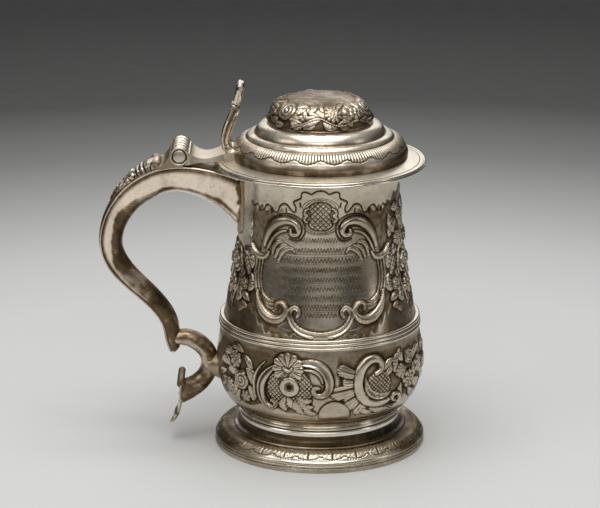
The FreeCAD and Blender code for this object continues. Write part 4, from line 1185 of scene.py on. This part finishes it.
class Sweep:
    """A line in the handle's plane, y = 0, with sections across it."""

    def __init__(self, stations, count):
        self.knots = np.array(stations, float)
        along = travelled(self.knots[:, :2])
        self.along = along / along[-1]
        self.line = spline(self.knots[:, :2], count)
        self.share = np.linspace(0, 1, count)
        self.inward = -line_normals(self.line)

    def size(self, column):
        """A station's number, read evenly along the line."""
        return np.interp(self.share, self.along, self.knots[:, column])

    def share_at(self, x, z):
        """How far along the line it passes nearest a point, from 0 to 1."""
        return self.share[np.argmin(np.hypot(self.line[:, 0] - x, self.line[:, 1] - z))]

    def points(self, across, deep):
        """Points from arrays, count by section steps, of distance across and inwards."""
        x = self.line[:, :1] + self.inward[:, :1] * deep
        z = self.line[:, 1:] + self.inward[:, 1:] * deep
        return np.stack([x, np.broadcast_to(across, x.shape), z], -1)


def kept(points, keep, *fields):
    """Each lengthwise line of a sweep cut back to its longest run where keep is true, then respaced."""
    count = len(points)
    out = [np.empty(np.shape(field)) for field in (points,) + fields]
    for j in range(points.shape[1]):
        good = np.flatnonzero(keep[:, j])
        place = np.linspace(good[0], good[-1], count)
        for result, field in zip(out, (points,) + fields):
            column = field[:, j].reshape(count, -1)
            new = [np.interp(place, np.arange(count), values) for values in column.T]
            result[:, j] = np.stack(new, 1).reshape(result[:, j].shape)
    return out


def outside_body(points):
    """Which points stand clear of the body, with room for the plate between."""
    wall = spline(BODY_CURVE, 400)
    radius = np.interp(points[..., 2], wall[:, 1], wall[:, 0])
    return np.hypot(points[..., 0], points[..., 1]) > radius + PLATE


def blotches(points, seed, size):
    """Soft random patches over any points, between -1 and 1 or so, about size across."""
    random = np.random.default_rng(seed)
    total = np.zeros(points.shape[:-1])
    for octave in range(4):
        for _ in range(3):
            direction = random.standard_normal(3)
            direction *= 2 * math.pi * 2 ** octave / size / np.linalg.norm(direction)
            total += np.sin(points @ direction + random.uniform(0, 6.28)) * 0.62 ** octave * 0.5
    return total


def make_handle(material):
    """The hollow D section channel and the strap along its back."""
    sweep = Sweep(HANDLE_STATIONS, 420)
    width, depth = sweep.size(2)[:, None], sweep.size(3)[:, None]
    s = sweep.share[:, None]
    left = sweep.share_at(-108, 143)
    low = sweep.share_at(-112, 98)
    angle = np.linspace(0, math.pi, 64)[None, :]
    across = -np.sign(np.cos(angle)) * np.abs(np.cos(angle)) ** 0.66 * width / 2
    deep = np.sin(angle) ** 0.8 * depth
    ripple = 0.0056 * np.abs(np.sin(s * 160 + 2 * np.sin(s * 37)) * np.sin(angle) ** 0.5)
    points = sweep.points(across, deep - 0.05 - ripple)
    side = np.minimum(angle, math.pi - angle) / (math.pi / 2)
    spots = blotches(points, seed=4, size=26)
    fine = blotches(points, seed=5, size=7)
    # Painted reflection and shade: a dark band along each side of the channel, thin at the crown and
    # widening down the handle, stands for the dark reflection on the rounded section, partly brown patina.
    # The inner face at the crown is kept clear of it.
    start = 0.46 - 0.22 * step_up(left - 0.12, left + 0.06, s) - 0.2 * step_up(low - 0.1, low + 0.06, s)
    end = 0.57 + 0.6 * step_up(left - 0.14, left, s)
    dark = step_up(start - 0.05, start + 0.05, side + 0.03 * spots) * step_up(end + 0.05, end - 0.05, side)
    dark = dark * (0.5 + 0.12 * spots + 0.08 * fine)
    dark = np.maximum(dark, 0.05 + 0.05 * spots + 0.04 * fine)
    dark = dark * step_up(1.02, 0.9, side * step_up(left - 0.05, left - 0.25, s))
    dark = np.maximum(dark, 0.55 * step_up(0.1, 0.02, side))
    roof = np.full(across.shape, 0.25)
    points = np.concatenate([points, sweep.points(across[:, ::-1] * 0.98, roof)], 1)
    dark = np.concatenate([dark, np.zeros(dark.shape)], 1)
    rough = 0.6 * blotches(points, seed=6, size=5)
    body_radius = np.interp(points[..., 2], [118, 134, 161], [44.8, 43.9, 47])
    near = step_up(1.5, 0.2, rough + np.hypot(points[..., 0], points[..., 1]) - body_radius - 0.8)
    dark = np.maximum(dark, 0.55 * near)
    points, dark = kept(points, outside_body(points), dark)
    surface("handle_channel_sheet", points, material, "vessel", ["handle_channel"],
        dark=dark)

    half = width / 2 + 0.3
    u = np.linspace(-1, 1, 49)[None, :]
    crown = -(0.8 + 0.7 * (1 - u ** 2))
    crown = crown + 0.16 * bell(np.abs(u) * half, half - BEAD_INSET, 0.28)
    edge = np.clip((1 - np.abs(u)) * half / 0.3, 0, 1)
    crown = crown * (0.62 + 0.38 * np.sqrt(1 - (1 - edge) ** 2))
    top = sweep.points(u * half, crown)
    under = sweep.points(u[:, ::-1] * half * 0.995, np.full(crown.shape, 0.02))
    points = np.concatenate([top, under], 1)
    spots = blotches(top, seed=8, size=30)
    dark = 0.3 + 0.14 * spots + 0.35 * step_up(left, left + 0.1, s)
    dark = np.maximum(dark, 0.8 * bell(np.abs(u) * half, half - BEAD_INSET, 0.3))
    dark = dark * np.clip(1.3 - 1.1 * bell((1 - np.abs(u)) * half, 0.25, 0.45), 0, 1)
    dark = np.clip(np.concatenate([dark, np.zeros(dark.shape)], 1), 0, 1)
    points, dark = kept(points, outside_body(points), dark)
    surface("handle_strap_sheet", points, material, "vessel", ["handle_strap"], dark=dark)


SHIELD_BACK = -76.4


def make_scroll(material):
    """The two hollow halves of the lower scroll, soldered along the handle's plane."""
    sweep = Sweep(SCROLL_STATIONS, 260)
    width, half_depth = sweep.size(2)[:, None], sweep.size(3)[:, None]
    s = sweep.share[:, None]
    for name, side in (("scroll_front_half", -1), ("scroll_back_half", 1)):
        angle = np.linspace(-math.pi / 2, math.pi / 2, 49)[None, :]
        seam = 0.12 * (bell(angle, -math.pi / 2, 0.05) + bell(angle, math.pi / 2, 0.05))
        across = side * np.cos(angle) * width / 2
        deep = np.sin(angle) * (half_depth - seam)
        points = sweep.points(across, deep)
        spots = 0.6 * blotches(points, seed=12, size=22) + 0.7 * blotches(points, seed=13, size=4.5)
        dark = np.clip(0.5 + 0.1 * spots + 0.3 * np.clip(seam * 8, 0, 1), 0.05, 0.95)
        # Painted highlight: a lighter streak along each half of the scroll, over its first part.
        dark = dark * (1 - 0.75 * bell(angle, -0.55, 0.35) * step_up(0.62, 0.35, s))
        keep = ((points[..., 0] > SHIELD_BACK) | (s < 0.3)) & (s > 0.01)
        points, dark = kept(points, keep, dark)
        points, dark = points[:, ::side], dark[:, ::side]
        surface(name + "_sheet", points, material, "vessel", [name], (False, False), dark)


LATHE_COLUMNS = 96


def lathe_y(name, profile, at, material, body, replaced=(), base=0, ink=(), ink_width=0.2):
    """A piece turned about a line along Y: profile rows are (radius, y), dark near the y in ink."""
    line = np.asarray(profile, float)
    theta = np.radians(np.arange(LATHE_COLUMNS) * 360 / LATHE_COLUMNS)
    x = at[0] + line[:, :1] * np.cos(theta)
    z = at[1] + line[:, :1] * np.sin(theta)
    points = np.stack([x, np.broadcast_to(line[:, 1:], x.shape), z], -1)
    dark = np.full((len(line), 1), base)
    for y in ink:
        dark = np.maximum(dark, 0.95 * bell(line[:, 1:], y, ink_width))
    surface(name, points, material, body, replaced, dark=np.broadcast_to(dark, x.shape))


def reeded(low, high, radius, grooves):
    """A knuckle's profile between two y, with grooves and with rounded ends."""
    y = np.arange(low, high + 0.04, 0.08)
    r = np.full(y.shape, radius)
    for groove in grooves:
        r -= 0.3 * bell(y, groove, 0.22)
    ends = np.minimum(y - low, high - y)
    r -= 0.35 * np.clip(1 - ends / 0.35, 0, 1) ** 2
    r -= 0.5 * (bell(y, low, 0.35) + bell(y, high, 0.35))
    return np.vstack([[(4.6, low)], np.stack([r, y], 1), [(4.6, high)]])


HINGE = (-76, 165.3)
BARREL_END = 13.4
KNUCKLE_LONG = 5.2
KNUCKLE_PITCH = 5.4
KNUCKLE_NAMES = ("handle_knuckle_front", "lid_knuckle_front", "handle_knuckle_middle", "lid_knuckle_back",
    "handle_knuckle_back")


def make_hinge(material, bright):
    """Reeded sleeves on the five knuckles, a collar at each end, and the two domed caps."""
    for number, node in enumerate(KNUCKLE_NAMES):
        low = KNUCKLE_PITCH * number - BARREL_END
        high = low + KNUCKLE_LONG
        body = "lid" if node.startswith("lid") else "vessel"
        profile = reeded(low, high, 5.22, (low + 1.75, low + 3.45))
        lathe_y(node + "_reeds", profile, HINGE, material, body, base=0.16, ink=(low, high),
            ink_width=0.75)
    for side, name in ((-1, "front"), (1, "back")):
        y0 = side * BARREL_END
        t = np.linspace(0, math.pi, 15)
        collar = np.stack([4.62 + 0.58 * np.cos(t), y0 + side * 0.62 * np.sin(t)], 1)
        collar = np.vstack([collar, [(3.95, y0 + side * 0.06), (3.3, y0 + side * 0.05)]])
        lathe_y("barrel_collar_" + name, collar, HINGE, bright, "vessel",
            base=0.95 * step_up(4.25, 4, collar[:, :1]))
        t = np.linspace(0, math.pi / 2, 12)
        cap = np.stack([3.45 * np.cos(t), y0 + side * (0.15 + 0.72 * np.sin(t))], 1)
        cap = np.vstack([[(3.45, y0)], cap])
        lathe_y("pin_cap_" + name + "_dome", cap, HINGE, bright, "vessel",
            ["pin_cap_" + name])


def roll_profile(y, r, face):
    """A roll's profile: its side, with the same turned face at each end."""
    front = [(radius, y[0] - out) for radius, out in face]
    back = [(radius, y[-1] + out) for radius, out in face]
    return np.vstack([front[::-1], np.stack([r, y], 1), back])


LEAF_ROLL = (-89.5, 158.4)
SHIELD_ROLL = (-76.9, 35.5)
LEAF_STATIONS = [(-86.5, 157.3, 15.5, 3), (-89, 156.4, 15.6, 3.2), (-96, 153, 15.8, 3.5),
    (-103.5, 147.3, 12.6, 3), (-108.3, 142.8, 8, 2.2), (-111.5, 139, 3.4, 1.3), (-113, 136.8, 1, 0.8)]


def make_leaf(material):
    """The acanthus on the strap: a rolled top, ribs, a pair of eyes, and a veined tip."""
    sweep = Sweep(LEAF_STATIONS, 300)
    width, height = sweep.size(2)[:, None], sweep.size(3)[:, None]
    s = sweep.share[:, None]
    u = np.linspace(-1, 1, 121)[None, :]
    tall = 1.5 + height * dome(u ** 2)
    lobes = 0.5 + 0.5 * np.cos(2 * np.pi * (s * 6 - np.abs(u) * 1.2))
    edge = 1 - 0.14 * lobes * step_up(0.4, 0.55, s)
    rib = bell(u, 0, 0.1)
    flutes = np.abs(np.sin(np.pi * (s * 11 - np.abs(u) * 1.6)))
    ribs = bell(s, 0.275, 0.02) + bell(s, 0.345, 0.018)
    eye = np.hypot((s - 0.475) / 0.055, (np.abs(u) - 0.7) / 0.26)
    boss = dome(eye)
    tip = step_up(0.5, 0.62, s)
    tall = tall - 0.5 * step_up(0.15, 0.45, s) + 0.5 * ribs + 0.75 * boss
    tall = tall - 0.3 * step_up(0.17, 0.21, s) * step_up(0.42, 0.38, s) - 0.35 * bell(eye, 1.15, 0.16)
    tall = tall + 0.5 * rib * step_up(0.4, 0.5, s) - 0.45 * tip * (1 - flutes) ** 1.5
    tall = np.maximum(tall * np.clip((1 - np.abs(u)) * 9, 0, 1) ** 0.5, 0.5)
    end = step_up(0.72, 0.86, s)
    dark = np.clip(0.12 + 0.4 * tip * (1 - flutes) ** 1.5 + 0.45 * end + 0.7 * bell(eye, 1.18, 0.14), 0, 1)
    gaps = bell(s, 0.31, 0.013) + bell(s, 0.38, 0.013) + bell(s, 0.235, 0.018)
    dark = np.clip(np.maximum(dark, 0.95 * gaps), 0, 0.95)
    dark = dark * (1 - 0.8 * boss)
    top = sweep.points(u * width / 2 * edge, -tall)
    base = sweep.points(u[:, ::-1] * width / 2 * edge, np.full(tall.shape, -0.6))
    surface("leaf_top", np.concatenate([top, base], 1), material, "vessel", ["handle_leaf"],
        dark=np.concatenate([dark, np.full(dark.shape, 0.3)], 1))
    y = np.linspace(-9.6, 9.6, 240)
    r = 2.8 - 0.22 * np.abs(np.sin(y * 1.8)) * step_up(8.9, 8.1, np.abs(y))
    face = [(2.75, 0.1), (2.35, 0.1), (2.15, -0.25), (1.9, -0.3), (1.2, -0.1), (0.02, 0)]
    lathe_y("leaf_roll", roll_profile(y, r, face), LEAF_ROLL, material, "vessel",
        ["handle_leaf"], base=0.3, ink=(-9.72, -8.8, 8.8, 9.72), ink_width=0.16)


def make_shield(material):
    """The terminal: a scrolled plate under a roll, with a flicked tip."""
    line = [(-77.2, 36.4), (-76.9, 31), (-77.1, 24), (-78.6, 17), (-81, 12), (-83.2, 9.1)]
    place = spline(line, 240)
    out = line_normals(place)
    share = np.linspace(0, 1, 240)[:, None]
    u = np.linspace(-1, 1, 97)[None, :]
    half = np.interp(share, [0, 0.12, 0.22, 0.34, 0.5, 0.62, 0.72, 0.84, 0.94, 1],
        [12.3, 12.4, 10, 11.2, 10.6, 9.2, 7.4, 5.2, 3.4, 0.6])
    scrolls = bell(np.abs(u), 0.86, 0.12) * (0.55 + 0.45 * np.cos(2 * np.pi * share * 4))
    thick = 0.55 + 0.75 * scrolls + 0.35 * bell(u, 0, 0.16) + 0.35 * bell(np.abs(u), 0.45, 0.1)
    thick = thick * np.clip((1 - np.abs(u)) * 8, 0, 1) ** 0.5 * np.clip((1 - share) * 12, 0.4, 1)
    thick = thick + 0.85 * bell(share, 0.78, 0.05) * np.cos(u * 1.3)
    z = np.broadcast_to(place[:, 1:], thick.shape)
    front = np.stack([place[:, :1] - thick * np.abs(out[:, :1]), half * u, z], -1)
    back = np.stack([np.broadcast_to(place[:, :1] + 0.75, z.shape), half * u[:, ::-1], z], -1)
    dark = 0.3 + 0.9 * bell(np.abs(u), 0.66, 0.08) - 0.3 * scrolls + 0.4 * bell(share, 0.7, 0.04)
    dark = np.clip(dark, 0, 0.95)
    dark = np.concatenate([dark, np.full(dark.shape, 0.45)], 1)
    surface("shield_plate", np.concatenate([front, back], 1)[:, ::-1], material, "vessel",
        ["terminal_shield"], dark=dark[:, ::-1])
    y = np.linspace(-12.3, 12.3, 260)
    r = 2.05 - 0.22 * np.abs(np.sin(y * 1.3)) - 0.25 * bell(np.abs(y), 10.8, 0.3)
    face = [(1.9, 0.1), (1.6, -0.15), (1.25, -0.3), (0.95, 0), (0.5, 0.15), (0.02, 0.18)]
    lathe_y("shield_roll", roll_profile(y, r, face), SHIELD_ROLL, material, "vessel",
        ["terminal_shield"], base=0.55)


KNOP_AT = (-46.1, 0, 190)
KNOP_LEAN = math.radians(14)
STEM_STATIONS = [(-44.6, 166.6, 22, 3), (-48.8, 167.6, 21.8, 4), (-51.2, 169.8, 21, 4.8),
    (-51.6, 173.4, 17.6, 4.7), (-50.6, 177.6, 12.6, 4.4), (-48.8, 182.2, 8.8, 4.2), (-47, 186.4, 6.8, 3.9),
    (-46, 189.6, 5.4, 3.6)]
BLADE_STATIONS = [(-45.3, 191.6, 5.6, 3.4), (-44.8, 194, 7.6, 4.3), (-44.1, 197, 10.2, 4.6),
    (-43.5, 199.8, 11.8, 4.6), (-43.1, 201.8, 11.6, 4.5), (-42.9, 203, 10.4, 3.9), (-42.8, 203.7, 8.8, 2.7),
    (-42.75, 204.05, 6, 0.1)]


def bent_plate(name, stations, material, sag, edge_tone, bead, replaced):
    """A plate bowed across its width, with full rounded edges, in the lid's middle plane."""
    sweep = Sweep(stations, 180)
    width, thick = sweep.size(2)[:, None], sweep.size(3)[:, None]
    u = np.sin(np.linspace(-math.pi / 2, math.pi / 2, 81))[None, :]
    rolled = dome(u ** 2)
    bow = sag * (u ** 2 - 0.5) * step_up(0, 0.12, sweep.share[:, None])
    raised = bead * bell(np.abs(u), 0.8, 0.1)
    top = sweep.points(u * width / 2, bow - (thick / 2 + raised) * rolled)
    under = sweep.points(u[:, ::-1] * width / 2, bow + thick / 2 * rolled)
    groove = bell(np.abs(u), 0.7, 0.06)
    dark = np.clip(0.06 + 0.55 * groove + edge_tone * step_up(0.74, 0.9, np.abs(u)), 0, 1)
    dark = np.concatenate([dark, np.full(dark.shape, edge_tone)], 1)[:, ::-1]
    points = np.concatenate([top, under], 1)[:, ::-1]
    surface(name, points, material, "lid", replaced,
        dark=np.broadcast_to(dark, points.shape[:2]))


def make_thumb(material, bright):
    """The thumbpiece: a bent stem, a turned knop and the blade over it."""
    # The stem and blade take the brighter copy of the silver, a painted highlight.
    bent_plate("thumb_stem", STEM_STATIONS, bright, 2, 0.3, 0.15, ["thumbpiece"])
    bent_plate("thumb_blade", BLADE_STATIONS, bright, 0.3, 0.06, 0, ["thumbpiece"])
    profile = outline((0.02, -2.2), (1.6, -2.1), [(2.75, -0.5), (1.7, 1.1)], (1.65, 1.2),
        [(2.45, 1.7), (1.7, 2.2)], (0.02, 2.4))
    profile = evenly(profile, 0.06)
    points = turned(profile, ring_angles(LATHE_COLUMNS))
    lean = Matrix.Rotation(KNOP_LEAN, 3, "Y")
    points = points @ np.array(lean).T + np.array(KNOP_AT)
    hollow = np.clip((smooth_rows(profile, 8)[:, 0] - profile[:, 0]) * 4, 0, 0.7)
    dark = np.maximum(hollow, 0.25 + 0.15 * step_up(1, 0.5, profile[:, 1]))[:, None]
    surface("thumb_knop", points, material, "lid", ["thumbpiece"],
        dark=np.broadcast_to(dark, points.shape[:2]))


def soften_edges(node):
    """Round the sharp edges of a plain piece."""
    rounded = nodes[node].modifiers.new("rounded", "BEVEL")
    rounded.width = 0.4 * MM
    rounded.segments = 3
    rounded.limit_method = "ANGLE"
    rounded.angle_limit = math.radians(40)


# ------------------------------------------------------------------ build
make_camera()
make_lights()
make_floor()
make_world()
chased_silver = make_silver("chased_silver", gloss=0.21, chased=True)
# A brighter, less tarnished copy of the silver for the collar, lip and lid-edge mouldings and the
# thumbpiece plates: painted highlight for their bright reflections, partly cleaner polish.
highlit_silver = make_silver("highlit_silver", (0.84, 0.775, 0.67), tarnish=0.16, gloss=0.16, chased=True)
# A brighter copy for the handle and its mounts: painted highlight standing for the handle's brighter
# reflections, partly lighter tarnish.
handle_silver = make_silver("handle_silver", (0.97, 0.83, 0.7), tarnish=0.24, gloss=0.24, chased=True)
lid_silver = make_silver("lid_silver", (0.8, 0.72, 0.6), tarnish=0.46, gloss=0.27, chased=True, fleck=0.55)
# A brighter copy for the lid flange: painted highlight for its broad bright reflection, partly cleaner
# polish.
highlit_flange_silver = make_silver("highlit_flange_silver", (0.9, 0.83, 0.71), tarnish=0.24, gloss=0.33, chased=True)
cap_silver = make_silver("cap_silver", (0.72, 0.66, 0.54), tarnish=0.3, gloss=0.34, chased=True)
strap_silver = make_silver("strap_silver", (0.66, 0.57, 0.45), tarnish=0.6, gloss=0.27)
joint_silver = make_silver("joint_silver", (0.46, 0.37, 0.26), tarnish=0.85, gloss=0.36)
plain_silver = make_silver("plain_silver")
for node in nodes.values():
    node.data.materials.clear()
    node.data.materials.append(plain_silver)
make_drum(chased_silver)
make_belly(chased_silver)
make_inside(plain_silver)
make_rings(chased_silver, highlit_silver, highlit_flange_silver)
make_foot(chased_silver)
make_dome(lid_silver)
make_boss(lid_silver)
make_handle(handle_silver)
make_scroll(handle_silver)
make_hinge(handle_silver, cap_silver)
make_leaf(handle_silver)
make_shield(handle_silver)
make_thumb(handle_silver, highlit_silver)
for plain_node in ("hinge_seat", "lid_strap", "lower_socket_collar"):
    soften_edges(plain_node)
nodes["lid_strap"].data.materials[0] = strap_silver
for joint_node in ("lower_socket_collar", "upper_socket_plate", "hinge_seat"):
    nodes[joint_node].data.materials[0] = joint_silver
